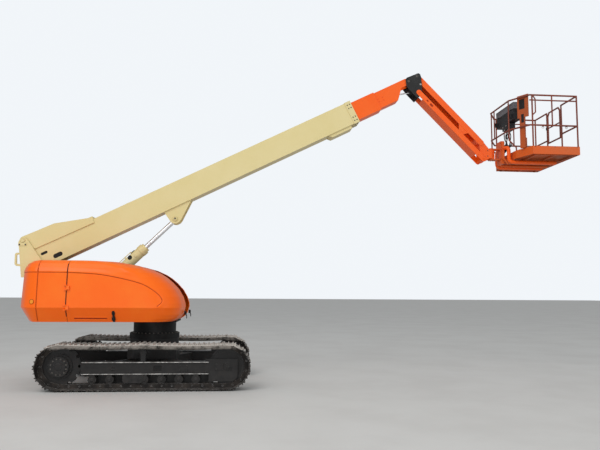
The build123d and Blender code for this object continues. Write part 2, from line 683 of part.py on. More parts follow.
def lift_lug():
    ear = [(LUG_X - 135, BASE_BOTTOM), (LUG_X - 100, LUG_Z - 20), (LUG_X - 75, LUG_Z - 66), (LUG_X - 28, LUG_Z - 92),
           (LUG_X + 40, LUG_Z - 92), (LUG_X + 88, LUG_Z - 70), (LUG_X + 430, BASE_BOTTOM)]
    plate = plate_xz(ear, LUG_INNER, LUG_INNER + LUG_THICKNESS)
    plate += disc_y(LUG_X, LUG_Z, 48, LUG_INNER + LUG_THICKNESS, LUG_INNER + LUG_THICKNESS + 16)
    plate += disc_y(LUG_X, LUG_Z, LIFT_EYE_RADIUS - 3, LIFT_EYE_WIDTH / 2 + 2, LUG_INNER + 1)
    return on_boom(both_sides(plate))


def collar_fairing():
    fairing = box(BASE_END - 670, BASE_END - 190, -145, 145, BASE_BOTTOM - 62, BASE_BOTTOM)
    fairing = chamfer(fairing.edges().filter_by(Axis.Y).group_by(Axis.Z)[0].sort_by(Axis.X)[0], 50)
    return on_boom(fairing)


def mid_tube():
    low, high = BOOM_MIDDLE - MID_HALF_HEIGHT, BOOM_MIDDLE + MID_HALF_HEIGHT
    tube = hollow_beam(MID_START, MID_END, MID_HALF_WIDTH, low, high, MID_WALL)
    pad_y = BASE_HALF_WIDTH - BASE_WALL - RUNNING_GAP
    pad_low, pad_high = BASE_BOTTOM + BASE_WALL + RUNNING_GAP, BASE_TOP - BASE_WALL - RUNNING_GAP
    pads = box(MID_START, MID_START + PAD_LENGTH, -pad_y, pad_y, low + 40, high - 40)
    pads += box(MID_START, MID_START + PAD_LENGTH, -100, 100, pad_low, pad_high)
    pads -= box(MID_START - 1, MID_END, -MID_HALF_WIDTH + 1, MID_HALF_WIDTH - 1, low + 1, high - 1)
    tube += pads
    nose_y = FLY_HALF_WIDTH + RUNNING_GAP
    nose_z = FLY_HALF_HEIGHT + RUNNING_GAP
    nose = box(MID_END - PAD_LENGTH, MID_END, -MID_HALF_WIDTH + 1, MID_HALF_WIDTH - 1, low + 1, high - 1)
    nose -= box(0, MID_END + 1, -nose_y, nose_y, BOOM_MIDDLE - nose_z, BOOM_MIDDLE + nose_z)
    return on_boom(tube + nose)


def fly_tube():
    low, high = BOOM_MIDDLE - FLY_HALF_HEIGHT, BOOM_MIDDLE + FLY_HALF_HEIGHT
    tube = hollow_beam(FLY_START, FLY_END, FLY_HALF_WIDTH, low, high, FLY_WALL)
    pad_y = MID_HALF_WIDTH - MID_WALL - RUNNING_GAP
    pad_z = MID_HALF_HEIGHT - MID_WALL - RUNNING_GAP
    pads = box(FLY_START, FLY_START + PAD_LENGTH, -pad_y, pad_y, low + 40, high - 40)
    pads += box(FLY_START, FLY_START + PAD_LENGTH, -80, 80, BOOM_MIDDLE - pad_z, BOOM_MIDDLE + pad_z)
    pads -= box(FLY_START - 1, FLY_END, -FLY_HALF_WIDTH + 1, FLY_HALF_WIDTH - 1, low + 1, high - 1)
    tube += pads
    tip = [(MID_END + 10, low), (MID_END + 10, high + 12), (LEVEL_X - 60, LEVEL_Z + 80), (LEVEL_X - 10, LEVEL_Z + 70),
           (LEVEL_X + 40, LEVEL_Z + 45), (LEVEL_X + 56, LEVEL_Z), (LEVEL_X + 40, LEVEL_Z - 40), (LEVEL_X - 20, LEVEL_Z - 58),
           (LEVEL_X - 190, LEVEL_Z - 56), (LEVEL_X - 255, LEVEL_Z - 133), (FLY_END, low)]
    plate = plate_xz(tip, FLY_HALF_WIDTH - TIP_PLATE, FLY_HALF_WIDTH)
    plate -= disc_y(LEVEL_X, LEVEL_Z, LEVEL_PIN + PIN_GAP, 0, FLY_HALF_WIDTH + 1)
    tube += both_sides(plate)
    ear = box(LEVEL_BASE_X - 30, LEVEL_BASE_X + 30, LEVEL_BARREL_RADIUS + 4, LEVEL_BARREL_RADIUS + 16, LEVEL_BASE_Z - 30, high - FLY_WALL + 1)
    tube += both_sides(ear)
    tube += disc_y(LEVEL_BASE_X, LEVEL_BASE_Z, SMALL_PIN, -LEVEL_BARREL_RADIUS - 10, LEVEL_BARREL_RADIUS + 10)
    return on_boom(tube)


def turned(x, z, angle):
    turn = radians(angle)
    return x * cos(turn) - z * sin(turn), x * sin(turn) + z * cos(turn)


def boom_point(x, z):
    across, up = turned(x, z, BOOM_ANGLE)
    return PIVOT_X + across, PIVOT_Z + up


# Cylinders are drawn along +X from the foot pin, then turned onto their line.

def cylinder_line(foot, eye):
    length = hypot(eye[0] - foot[0], eye[1] - foot[1])
    angle = degrees(atan2(eye[1] - foot[1], eye[0] - foot[0]))
    return length, Pos(foot[0], 0, foot[1]) * Rot(0, -angle, 0)


def rod_along(x0, x1, radius):
    return Pos(x0, 0, 0) * Rot(0, 90, 0) * Cylinder(radius, x1 - x0, align=(Align.CENTER, Align.CENTER, Align.MIN))


def lift_line():
    return cylinder_line((CYLINDER_FOOT_X, CYLINDER_FOOT_Z), boom_point(LUG_X, LUG_Z))


def lift_barrel():
    _, place = lift_line()
    half = LIFT_EYE_WIDTH / 2
    start = LIFT_FOOT_RADIUS + 90
    neck = LIFT_BARREL_LENGTH - LIFT_GLAND_LENGTH
    barrel = rod_along(start, neck, LIFT_BARREL_RADIUS) + rod_along(neck - 1, LIFT_BARREL_LENGTH, LIFT_GLAND_RADIUS)
    barrel += rod_along(neck - 90, neck, LIFT_BARREL_RADIUS + LIFT_COLLAR_RISE)
    barrel += disc_y(0, 0, LIFT_FOOT_RADIUS, -half, half)
    barrel += box(0, start + 1, -half, half, -LIFT_FOOT_RADIUS, LIFT_FOOT_RADIUS)
    barrel -= rod_along(start + 30, neck - 30, LIFT_BORE_RADIUS)
    barrel -= rod_along(LIFT_FOOT_RADIUS + 35, LIFT_BARREL_LENGTH + 1, LIFT_ROD_RADIUS + PIN_GAP)
    barrel -= disc_y(0, 0, FOOT_PIN + PIN_GAP, -half - 1, half + 1)
    port = Pos(LIFT_BARREL_LENGTH - 240, -LIFT_BARREL_RADIUS + 8, 0) * Rot(90, 0, 0) * Cylinder(26, 40)
    return place * (barrel + port)


def lift_rod():
    length, place = lift_line()
    half = LIFT_EYE_WIDTH / 2
    rod = rod_along(length - LIFT_ROD_LENGTH, length - LIFT_EYE_RADIUS + 12, LIFT_ROD_RADIUS)
    rod += disc_y(length, 0, LIFT_EYE_RADIUS, -half, half)
    return place * (rod + disc_y(length, 0, FOOT_PIN, -half - 1, half + 1))


def level_eye():
    tip_x, tip_z = boom_point(LEVEL_X, LEVEL_Z)
    return tip_x + LEVEL_EYE_X, tip_z + LEVEL_EYE_Z


def level_line():
    return cylinder_line(boom_point(LEVEL_BASE_X, LEVEL_BASE_Z), level_eye())


def level_barrel():
    _, place = level_line()
    half = LEVEL_BARREL_RADIUS
    barrel = disc_y(0, 0, LEVEL_EYE_RADIUS, -half, half) + rod_along(20, LEVEL_BARREL_LENGTH, LEVEL_BARREL_RADIUS)
    barrel -= rod_along(70, LEVEL_BARREL_LENGTH + 1, LEVEL_ROD_RADIUS + PIN_GAP)
    return place * (barrel - disc_y(0, 0, SMALL_PIN + PIN_GAP, -half - 1, half + 1))


def level_rod():
    length, place = level_line()
    rod = rod_along(LEVEL_BARREL_LENGTH - LEVEL_ROD_INSIDE, length - 12, LEVEL_ROD_RADIUS)
    rod += disc_y(length, 0, LEVEL_EYE_RADIUS - 4, -24, 24) + disc_y(length, 0, SMALL_PIN - 4, -29, 29)
    return place * rod


# Jib: two arms and a head that stay parallel, on pins of one spread and one lean.

LOWER_PIN_X = JIB_X + JIB_PIN_SPREAD * sin(radians(JIB_LEAN))
LOWER_PIN_Z = JIB_Z - JIB_PIN_SPREAD * cos(radians(JIB_LEAN))
HEAD_DX, HEAD_DZ = turned(JIB_LENGTH, 0, -JIB_ANGLE)
LEVEL_TIP = boom_point(LEVEL_X, LEVEL_Z)


def between(start, end, share):
    return start[0] + (end[0] - start[0]) * share, start[1] + (end[1] - start[1]) * share


def about(pin, offsets):
    return [(pin[0] + x, pin[1] + z) for x, z in offsets]


def slanted_plate(start, end, thickness, y0, y1):
    length = hypot(end[0] - start[0], end[1] - start[1])
    nx, nz = (start[1] - end[1]) / length * thickness / 2, (end[0] - start[0]) / length * thickness / 2
    corners = [(start[0] + nx, start[1] + nz), (end[0] + nx, end[1] + nz), (end[0] - nx, end[1] - nz),
               (start[0] - nx, start[1] - nz)]
    return plate_xz(corners, y0, y1)


def knuckle():
    outer = KNUCKLE_INNER + KNUCKLE_THICKNESS
    upper, lower, eye = (JIB_X, JIB_Z), (LOWER_PIN_X, LOWER_PIN_Z), level_eye()
    base = (JIB_X + JIB_BASE_X, JIB_Z + JIB_BASE_Z)
    outline = about(LEVEL_TIP, [(-60, 43), (-36, 72)])
    outline += about(upper, [(23, 64), (60, 45), (80, -15)])
    outline += about(lower, [(64, 174), (64, 4), (46, -46), (-20, -118)])
    outline += about(LEVEL_TIP, [(15, -170), (-49, -83)])
    body = both_sides(plate_xz(outline, KNUCKLE_INNER, outer))
    high, low = between(LEVEL_TIP, upper, 0.5), between(eye, lower, 0.5)
    body += slanted_plate(between(high, low, -0.12), between(high, low, 1.1), 12, -KNUCKLE_INNER - 1, KNUCKLE_INNER + 1)
    body += disc_y(LEVEL_TIP[0], LEVEL_TIP[1], LEVEL_PIN, -outer, outer)
    body += disc_y(JIB_X, JIB_Z, JIB_PIN, -outer, outer)
    body += disc_y(LOWER_PIN_X, LOWER_PIN_Z, JIB_PIN, -LOWER_INNER - ARM_WALL, LOWER_INNER + ARM_WALL)
    ear = about(eye, [(-36, -15), (-18, -38), (25, -38)]) + [low, between(low, high, 0.33)] + about(eye, [(-10, 60), (-36, 20)])
    body += both_sides(plate_xz(ear, 30, 42))
    lug = [between(high, low, 0.35)] + about(base, [(0, 34), (26, 22), (34, 0), (26, -22), (0, -34)])
    body += both_sides(plate_xz(lug + [between(high, low, 0.8)], 42, 54))
    return body + disc_y(base[0], base[1], SMALL_PIN, -54, 54)


def on_jib(shape, x, z):
    return Pos(x, 0, z) * Rot(0, JIB_ANGLE, 0) * shape


def arm_side(length, half_height, inner, pin_clear):
    nose = half_height
    plate = box(0, length, inner, inner + ARM_WALL, -half_height, half_height)
    plate += disc_y(0, 0, nose, inner, inner + ARM_WALL) + disc_y(length, 0, nose, inner, inner + ARM_WALL)
    for x in (0, length):
        plate -= disc_y(x, 0, JIB_PIN + pin_clear, inner - 1, inner + ARM_WALL + 1)
    return both_sides(plate)


def upper_arm():
    inner = UPPER_HALF_WIDTH - ARM_WALL
    arm = arm_side(JIB_LENGTH, UPPER_HALF_HEIGHT, inner, PIN_GAP)
    arm += box(70, JIB_LENGTH - 110, -inner - 1, inner + 1, UPPER_HALF_HEIGHT - ARM_WALL, UPPER_HALF_HEIGHT)
    half = UPPER_HALF_HEIGHT
    lug = plate_xz([(JIB_LUG_X - 150, 1 - half), (JIB_LUG_X - 62, JIB_LUG_Z - 2), (JIB_LUG_X - 40, JIB_LUG_Z - 24),
                    (JIB_LUG_X + 44, JIB_LUG_Z - 24), (JIB_LUG_X + 60, JIB_LUG_Z + 2), (JIB_LUG_X + 112, 1 - half)],
                   inner, inner + ARM_WALL)
    arm += both_sides(lug)
    return on_jib(arm, JIB_X, JIB_Z)


def lower_arm():
    arm = arm_side(JIB_LENGTH, LOWER_HALF_HEIGHT, LOWER_INNER, PIN_GAP)
    web = box(150, JIB_LENGTH - 170, -LOWER_INNER - 1, LOWER_INNER + 1, -LOWER_HALF_HEIGHT, -LOWER_HALF_HEIGHT + 6)
    return on_jib(arm + web, LOWER_PIN_X, LOWER_PIN_Z)


def jib_line():
    across, up = turned(JIB_LUG_X, JIB_LUG_Z, -JIB_ANGLE)
    return cylinder_line((JIB_X + JIB_BASE_X, JIB_Z + JIB_BASE_Z), (JIB_X + across, JIB_Z + up))


def jib_barrel():
    _, place = jib_line()
    barrel = disc_y(0, 0, JIB_EYE_RADIUS, -40, 40) + rod_along(20, JIB_BARREL_LENGTH, JIB_BARREL_RADIUS)
    barrel -= rod_along(90, JIB_BARREL_LENGTH + 1, JIB_ROD_RADIUS + PIN_GAP)
    return place * (barrel - disc_y(0, 0, SMALL_PIN + PIN_GAP, -41, 41))


def jib_rod():
    length, place = jib_line()
    rod = rod_along(JIB_BARREL_LENGTH - 560, length - 14, JIB_ROD_RADIUS)
    rod += disc_y(length, 0, JIB_EYE_RADIUS, -30, 30)
    reach = UPPER_HALF_WIDTH - ARM_WALL - 1
    return place * (rod + disc_y(length, 0, SMALL_PIN, -reach, reach))


def on_head(shape):
    return Pos(JIB_X + HEAD_DX - HEAD_PIN_X, 0, JIB_Z + HEAD_DZ - HEAD_PIN_Z) * shape


def jib_head():
    top_x, top_z = HEAD_PIN_X, HEAD_PIN_Z
    low_x, low_z = HEAD_PIN_X + LOWER_PIN_X - JIB_X, HEAD_PIN_Z + LOWER_PIN_Z - JIB_Z
    clear = ROTATOR_X - BRACKET_HALF_WIDTH - 10
    outline = [(top_x - 40, top_z + 10), (top_x - 15, top_z + 42), (top_x + 30, top_z + 42), (clear, ROTATOR_TOP - 10),
               (ROTATOR_X - 30, ROTATOR_TOP - 10), (ROTATOR_X - 30, ROTATOR_BOTTOM + 5), (clear, ROTATOR_BOTTOM + 5),
               (low_x + 60, low_z - 30), (low_x + 10, low_z - 44), (low_x - 34, low_z - 28)]
    plate = plate_xz(outline, HEAD_OUTER - HEAD_PLATE, HEAD_OUTER)
    head = both_sides(plate)
    head += box(ROTATOR_X - 150, ROTATOR_X - 30, -HEAD_OUTER + 1, HEAD_OUTER - 1, ROTATOR_BOTTOM + 10, ROTATOR_TOP - 10)
    head += disc_z(ROTATOR_X, 0, ROTATOR_RADIUS, ROTATOR_BOTTOM, ROTATOR_TOP)
    head += disc_y(top_x, top_z, JIB_PIN, -UPPER_HALF_WIDTH, UPPER_HALF_WIDTH)
    head += disc_y(low_x, low_z, JIB_PIN, -LOWER_INNER - ARM_WALL, LOWER_INNER + ARM_WALL)
    return on_head(head)


# Platform

def floor_points(grow=0):
    back, bulge, front = FLOOR_BACK - grow, FLOOR_BULGE - grow, FLOOR_FRONT + grow
    wide = FLOOR_HALF_WIDTH + grow
    return [(bulge, -BULGE_HALF_WIDTH), (back, -wide), (front, -wide), (front, wide), (back, wide), (bulge, BULGE_HALF_WIDTH)]


def plan_plate(points, z0, z1):
    return Pos(0, 0, z0) * extrude(make_face(Polyline(points, close=True)), z1 - z0, dir=(0, 0, 1))


def platform_floor():
    top = FLOOR_BOTTOM + 20 + FLOOR_THICKNESS
    deck = plan_plate(floor_points(-KICK_THICKNESS), FLOOR_BOTTOM + 20, top)
    sheet_y = FLOOR_HALF_WIDTH - SHEET_MARGIN
    deck += box(FLOOR_BACK + SHEET_MARGIN, FLOOR_FRONT - SHEET_MARGIN, -sheet_y, sheet_y, top - 1, top + SHEET_THICKNESS)
    for x in (FLOOR_BACK + 90, (FLOOR_BACK + FLOOR_FRONT) / 2, FLOOR_FRONT - 90):
        deck += box(x - 20, x + 20, -FLOOR_HALF_WIDTH + 30, FLOOR_HALF_WIDTH - 30, FLOOR_BOTTOM - 10, FLOOR_BOTTOM + 21)
    for y in (-FLOOR_HALF_WIDTH + 60, -300, 300, FLOOR_HALF_WIDTH - 60):
        deck += box(FLOOR_BACK + 60, FLOOR_FRONT - 60, y - 20, y + 20, FLOOR_BOTTOM - 10, FLOOR_BOTTOM + 21)
    return deck


def kick_plates():
    z0, z1 = FLOOR_BOTTOM, FLOOR_BOTTOM + KICK_HEIGHT
    wall = plan_plate(floor_points(), z0, z1) - plan_plate(floor_points(-KICK_THICKNESS), z0 - 1, z1 + 1)
    wall -= box(FLOOR_FRONT - 50, FLOOR_FRONT + 50, GATE_START + 20, GATE_END - 20, z0 + 40, z1 + 1)
    return wall


RAIL_FRONT = FLOOR_FRONT - RAIL_RADIUS - KICK_THICKNESS
RAIL_WIDE = FLOOR_HALF_WIDTH - RAIL_RADIUS - KICK_THICKNESS
RAIL_BACK = FLOOR_BACK - 30
CONSOLE_POST_Y = 280
GATE_HINGE_Y = GATE_START + RAIL_RADIUS + 16
GATE_HINGE_SPAN = 26
GATE_HINGE_PIN = 5
GATE_HINGE_HEIGHTS = (MID_RAIL_Z + 40, TOP_RAIL_Z - 200)


def guard_rails():
    front = RAIL_FRONT
    wide = RAIL_WIDE
    back = RAIL_BACK
    low = FLOOR_BOTTOM + KICK_HEIGHT
    rails = None
    for z in (TOP_RAIL_Z, MID_RAIL_Z):
        run = [(front, GATE_START, z), (front, -wide, z), (back, -wide, z), (RAIL_BULGE, -BULGE_HALF_WIDTH, z),
               (RAIL_BULGE, BULGE_HALF_WIDTH, z), (back, wide, z), (front, wide, z), (front, GATE_END, z)]
        piece = tube_run(run, RAIL_RADIUS)
        rails = piece if rails is None else rails + piece
    for side in (-1, 1):
        rails += rod_between((back, side * wide, INNER_RAIL_Z), (front, side * wide, INNER_RAIL_Z), RAIL_RADIUS - 3)
    bulge_x = FLOOR_BULGE + KICK_THICKNESS + RAIL_RADIUS - 3
    posts = [(front, GATE_START), (front, GATE_END), (front, -wide), (front, wide), (FLOOR_BACK + 18, -wide), (FLOOR_BACK + 18, wide)]
    for x, y in posts:
        rails += rod_between((x, y, low - 90), (x, y, TOP_RAIL_Z), RAIL_RADIUS - 1)
    loop_x = FLOOR_BACK + 18
    rails += tube_run([(loop_x, -wide, MID_RAIL_Z + 190), (loop_x + HAND_LOOP, -wide, MID_RAIL_Z + 250),
                       (loop_x + HAND_LOOP, -wide, INNER_RAIL_Z + 20), (loop_x + 10, -wide, TOP_RAIL_Z)], RAIL_RADIUS - 4)
    rails += rod_between((RAIL_BULGE, CONSOLE_POST_Y, MID_RAIL_Z), (RAIL_BULGE, CONSOLE_POST_Y, TOP_RAIL_Z), RAIL_RADIUS - 3)
    for z in GATE_HINGE_HEIGHTS:
        rails += disc_z(front, GATE_HINGE_Y, GATE_HINGE_PIN, z - 27, z + 27)
        for low_z in (z - 27, z + 21):
            rails += disc_z(front, GATE_HINGE_Y, 9, low_z, low_z + 6)
            rails += box(front - 8, front + 8, GATE_START + RAIL_RADIUS - 4, GATE_HINGE_Y, low_z, low_z + 6)
    for side in (-1, 1):
        y = side * (BULGE_HALF_WIDTH - 20)
        rails += tube_run([(bulge_x, y, low - 90), (bulge_x, y, low + 60), (RAIL_BULGE, y, MID_RAIL_Z - 200),
                           (RAIL_BULGE, y, TOP_RAIL_Z)], RAIL_RADIUS - 3)
        rails += rod_between((SIDE_POST_X, side * wide, MID_RAIL_Z), (SIDE_POST_X, side * wide, TOP_RAIL_Z), RAIL_RADIUS - 3)
    return rails


def gate():
    front = RAIL_FRONT
    y0 = GATE_HINGE_Y + GATE_HINGE_SPAN
    y1 = GATE_END - 2 * RAIL_RADIUS - GATE_GAP
    top = TOP_RAIL_Z - 10
    base = MID_RAIL_Z - 60
    leaf = tube_run([(front, y0, base), (front, y0, top - 70), (front, y0 + 60, top), (front, y1 - 60, top),
                     (front, y1, top - 70), (front, y1, base), (front, y0, base)], RAIL_RADIUS)
    leaf += rod_between((front, y0, MID_RAIL_Z + 250), (front, y1, MID_RAIL_Z + 250), RAIL_RADIUS - 3)
    for z in GATE_HINGE_HEIGHTS:
        leaf += disc_z(front, GATE_HINGE_Y, 9, z - 20, z + 20)
        leaf += box(front - 8, front + 8, GATE_HINGE_Y, y0, z - 20, z + 20)
        leaf -= disc_z(front, GATE_HINGE_Y, GATE_HINGE_PIN + PIN_GAP, z - 21, z + 21)
        for low_z in (z - 28, z + 20):
            leaf -= box(front - 20, front + 20, GATE_HINGE_Y - 20, GATE_HINGE_Y + 10, low_z, low_z + 8)
    return leaf


def platform_bracket():
    low = ROTATOR_BOTTOM - ROTATOR_PLATE - RUNNING_GAP
    high = ROTATOR_TOP + RUNNING_GAP
    half = BRACKET_HALF_WIDTH
    bracket = None
    for z in (low, high):
        plate = box(ROTATOR_X, ROTATOR_X + 190, -half, half, z, z + ROTATOR_PLATE)
        plate += disc_z(ROTATOR_X, 0, half, z, z + ROTATOR_PLATE)
        bracket = plate if bracket is None else bracket + plate
    post_x = ROTATOR_X + 160
    bracket += box(post_x, post_x + 60, -110, 110, FLOOR_BOTTOM - 40, 4660)
    for side in (-1, 1):
        y = side * 150
        bracket += tube_run([(post_x + 30, y, 4640), (post_x + 30, y, FLOOR_BOTTOM + 60), (post_x + 110, y, FLOOR_BOTTOM - 34),
                             (FLOOR_FRONT - 140, y, FLOOR_BOTTOM - 34)], 24)
        bracket += box(post_x + 10, post_x + 50, side * 100, side * 150, FLOOR_BOTTOM + 70, 4640)
    return bracket


def on_diagonal(shape):
    turn = degrees(atan2(BULGE_HALF_WIDTH - RAIL_WIDE, RAIL_BACK - RAIL_BULGE))
    return Pos(RAIL_BULGE, -BULGE_HALF_WIDTH, 0) * Rot(0, 0, turn) * shape


def console_post():
    near = RAIL_RADIUS + 3
    post = box(225, 330, near, near + 40, FLOOR_BOTTOM + KICK_HEIGHT, 4990)
    post += box(240, 315, near + 70, near + 90, FLOOR_BOTTOM + 20 + FLOOR_THICKNESS, 4600)
    post += box(240, 315, near + 39, near + 71, 4500, 4600)
    panel = box(180, 425, near, near + 14, 4985, 5420)
    panel -= box(215, 345, near - 1, near + 15, 5150, 5345)
    return on_diagonal(post + panel)


def console_profile(rise):
    x0 = RAIL_BULGE + RAIL_RADIUS + 48
    if rise:
        return [(x0 - 4, 5212), (x0 + 222, 5212), (x0 + 216, 5250), (x0 + 70, 5342), (x0 - 4, 5342)]
    return [(x0, 5000), (x0 + 150, 5000), (x0 + 210, 5120), (x0 + 210, 5212), (x0, 5212)]


def console():
    body = plate_xz(console_profile(False), -515, 315)
    for y in (20 - BULGE_HALF_WIDTH, CONSOLE_POST_Y):
        body += box(RAIL_BULGE + RAIL_RADIUS - 3, RAIL_BULGE + RAIL_RADIUS + 49, y - 20, y + 20, 5040, 5120)
    return body


def console_lid():
    return plate_xz(console_profile(True), -520, 320)


def build():
    pieces = {
        "car_body": car_body(), "slew_ring": slew_ring(), "turntable_deck": turntable_deck(),
        "boom_uprights": boom_uprights(), "counterweight": counterweight(), "engine_block": engine_block(),
        "base_tube": base_tube(), "base_collar": base_collar(), "boom_root": boom_root(), "lift_lug": lift_lug(),
        "collar_fairing": collar_fairing(), "mid_tube": mid_tube(), "fly_tube": fly_tube(),
        "lift_barrel": lift_barrel(), "lift_rod": lift_rod(), "level_barrel": level_barrel(), "level_rod": level_rod(),
        "knuckle": knuckle(), "upper_arm": upper_arm(), "lower_arm": lower_arm(), "jib_barrel": jib_barrel(),
        "jib_rod": jib_rod(), "jib_head": jib_head(), "platform_bracket": platform_bracket(),
        "platform_floor": platform_floor(), "kick_plates": kick_plates(), "guard_rails": guard_rails(),
        "platform_gate": gate(), "console_post": console_post(), "console": console(), "console_lid": console_lid(),
    }
    for name, side in (("left", 1), ("right", -1)):
        pieces["track_" + name] = track_loop(side)
        pieces["track_frame_" + name] = track_frame(side)
        pieces["sprocket_" + name] = sprocket(side)
        pieces["idler_" + name] = idler(side)
        pieces["rollers_" + name] = rollers(side)
        pieces["rear_cover_" + name] = rear_cover(side)
        pieces["hood_door_" + name] = hood_door(side)
    for name in ("platform_bracket", "platform_floor", "kick_plates", "guard_rails", "platform_gate", "console_post",
                 "console", "console_lid"):
        pieces[name] = on_head(pieces[name])
    return pieces


os.makedirs("parts", exist_ok=True)
for node, shape in build().items():
    export_step(Pos(-MIDDLE_X, 0, 0) * shape, f"parts/{node}.step")
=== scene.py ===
import math
import bmesh
import bpy
from mathutils import Matrix, Vector
from mathutils.bvhtree import BVHTree


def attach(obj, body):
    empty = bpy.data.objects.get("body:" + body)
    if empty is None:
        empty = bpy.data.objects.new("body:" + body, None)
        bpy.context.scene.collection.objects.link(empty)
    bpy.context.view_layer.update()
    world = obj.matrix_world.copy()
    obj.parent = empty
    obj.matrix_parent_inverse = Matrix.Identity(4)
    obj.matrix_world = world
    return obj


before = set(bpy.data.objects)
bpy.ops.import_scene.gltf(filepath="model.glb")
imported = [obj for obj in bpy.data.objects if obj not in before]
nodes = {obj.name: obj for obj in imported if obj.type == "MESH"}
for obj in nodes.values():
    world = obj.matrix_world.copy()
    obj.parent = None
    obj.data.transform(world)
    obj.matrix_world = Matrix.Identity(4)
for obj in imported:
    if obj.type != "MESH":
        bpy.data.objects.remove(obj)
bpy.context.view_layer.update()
scene = bpy.context.scene
scene.view_settings.view_transform = "Standard"


# Studio: a plain pale floor that runs far out, an even white surround, two broad soft lamps
# high on the camera's side and a long low one that lights the tracks but not the floor.
# The camera stands where the photograph was taken.
camera = bpy.data.objects.new("camera", bpy.data.cameras.new("camera"))
camera.data.lens = 38.49
camera.data.sensor_width = 36
camera.data.clip_end = 400
pan, tilt, roll = (math.radians(angle) for angle in (-5.059, 95.996, 0.338))
aim = Matrix.Rotation(pan, 4, "Z") @ Matrix.Rotation(tilt, 4, "X")
camera.matrix_world = Matrix.Translation((-1.089, -12.218, 1.645)) @ aim @ Matrix.Rotation(roll, 4, "Z")
scene.collection.objects.link(camera)
scene.camera = camera


def add_node(tree, kind, inputs=None, **settings):
    made = tree.nodes.new(kind)
    for name, value in settings.items():
        setattr(made, name, value)
    for name, value in (inputs or {}).items():
        if isinstance(value, bpy.types.NodeSocket):
            tree.links.new(value, made.inputs[name])
        else:
            made.inputs[name].default_value = value
    return made


def ramp(tree, value, start, end, low=0.0, high=1.0, **settings):
    span = {"Value": value, "From Min": start, "From Max": end, "To Min": low, "To Max": high}
    return add_node(tree, "ShaderNodeMapRange", span, **settings).outputs["Result"]


def maths(tree, a, b, operation="MULTIPLY", **settings):
    return add_node(tree, "ShaderNodeMath", {0: a, 1: b}, operation=operation, **settings).outputs[0]


def mix(tree, share, a, b):
    return add_node(tree, "ShaderNodeMix", {"Factor": share, "A": a, "B": b},
        data_type="RGBA").outputs["Result"]


def here(tree):
    return add_node(tree, "ShaderNodeTexCoord").outputs["Object"]


def noise(tree, **values):
    return add_node(tree, "ShaderNodeTexNoise", {"Vector": here(tree), **values}).outputs["Fac"]


def bump(tree, bsdf, scale, strength, distance=0.002, detail=4.0, radius=None):
    height = noise(tree, Scale=scale, Detail=detail)
    relief = add_node(tree, "ShaderNodeBump", {"Height": height, "Strength": strength, "Distance": distance})
    if radius:
        soft = add_node(tree, "ShaderNodeBevel", {"Radius": radius}, samples=4)
        tree.links.new(soft.outputs["Normal"], relief.inputs["Normal"])
    tree.links.new(relief.outputs["Normal"], bsdf.inputs["Normal"])


def shader_group(name, inputs, outputs):
    tree = bpy.data.node_groups.new(name, "ShaderNodeTree")
    for way, labels in (("INPUT", inputs), ("OUTPUT", outputs)):
        for label in labels:
            kind = "Color" if label.endswith("Colour") else "Float"
            tree.interface.new_socket(label, in_out=way, socket_type="NodeSocket" + kind)
    return tree, tree.nodes.new("NodeGroupInput").outputs, tree.nodes.new("NodeGroupOutput").inputs


def place_group(tree, group, inputs):
    return add_node(tree, "ShaderNodeGroup", inputs, node_tree=group).outputs


# Mottle breaks one colour up into another in soft clouds, as weathered paint and steel are.
mottle, given, result = shader_group("mottle", ("Colour", "Second Colour", "Scale", "Amount"),
    ("Colour", "Mask"))
broad = noise(mottle, Scale=given["Scale"], Detail=7.0, Roughness=0.62)
clouds = ramp(mottle, broad, 0.36, 0.68, interpolation_type="SMOOTHSTEP")
share = maths(mottle, clouds, given["Amount"])
mottle.links.new(mix(mottle, share, given["Colour"], given["Second Colour"]), result["Colour"])
mottle.links.new(clouds, result["Mask"])


def mottled(tree, colour, second, scale, amount):
    shades = {"Colour": (*colour, 1), "Second Colour": (*second, 1)}
    return place_group(tree, mottle, {**shades, "Scale": scale, "Amount": amount})


def new_material(name, **shader):
    material = bpy.data.materials.new(name)
    material.use_nodes = True
    bsdf = material.node_tree.nodes["Principled BSDF"]
    for socket, value in shader.items():
        bsdf.inputs[socket.replace("_", " ")].default_value = value
    return material, material.node_tree, bsdf


def two_tone(name, mottling, gloss, relief, **shader):
    material, tree, bsdf = new_material(name, **shader)
    base = mottled(tree, *mottling)
    tree.links.new(base["Colour"], bsdf.inputs["Base Color"])
    if gloss:
        tree.links.new(ramp(tree, base["Mask"], 0.0, 1.0, *gloss), bsdf.inputs["Roughness"])
    bump(tree, bsdf, *relief)
    return material


ground = bpy.data.meshes.new("floor")
ground.from_pydata([(-90, -30, 0), (90, -30, 0), (90, 150, 0), (-90, 150, 0)], [], [(0, 1, 2, 3)])
ground.materials.append(two_tone("pale_floor", ((0.60, 0.59, 0.565), (0.54, 0.525, 0.50), 0.6, 0.6), None,
    (60.0, 0.08), Roughness=0.9))
floor = bpy.data.objects.new("floor", ground)
scene.collection.objects.link(floor)

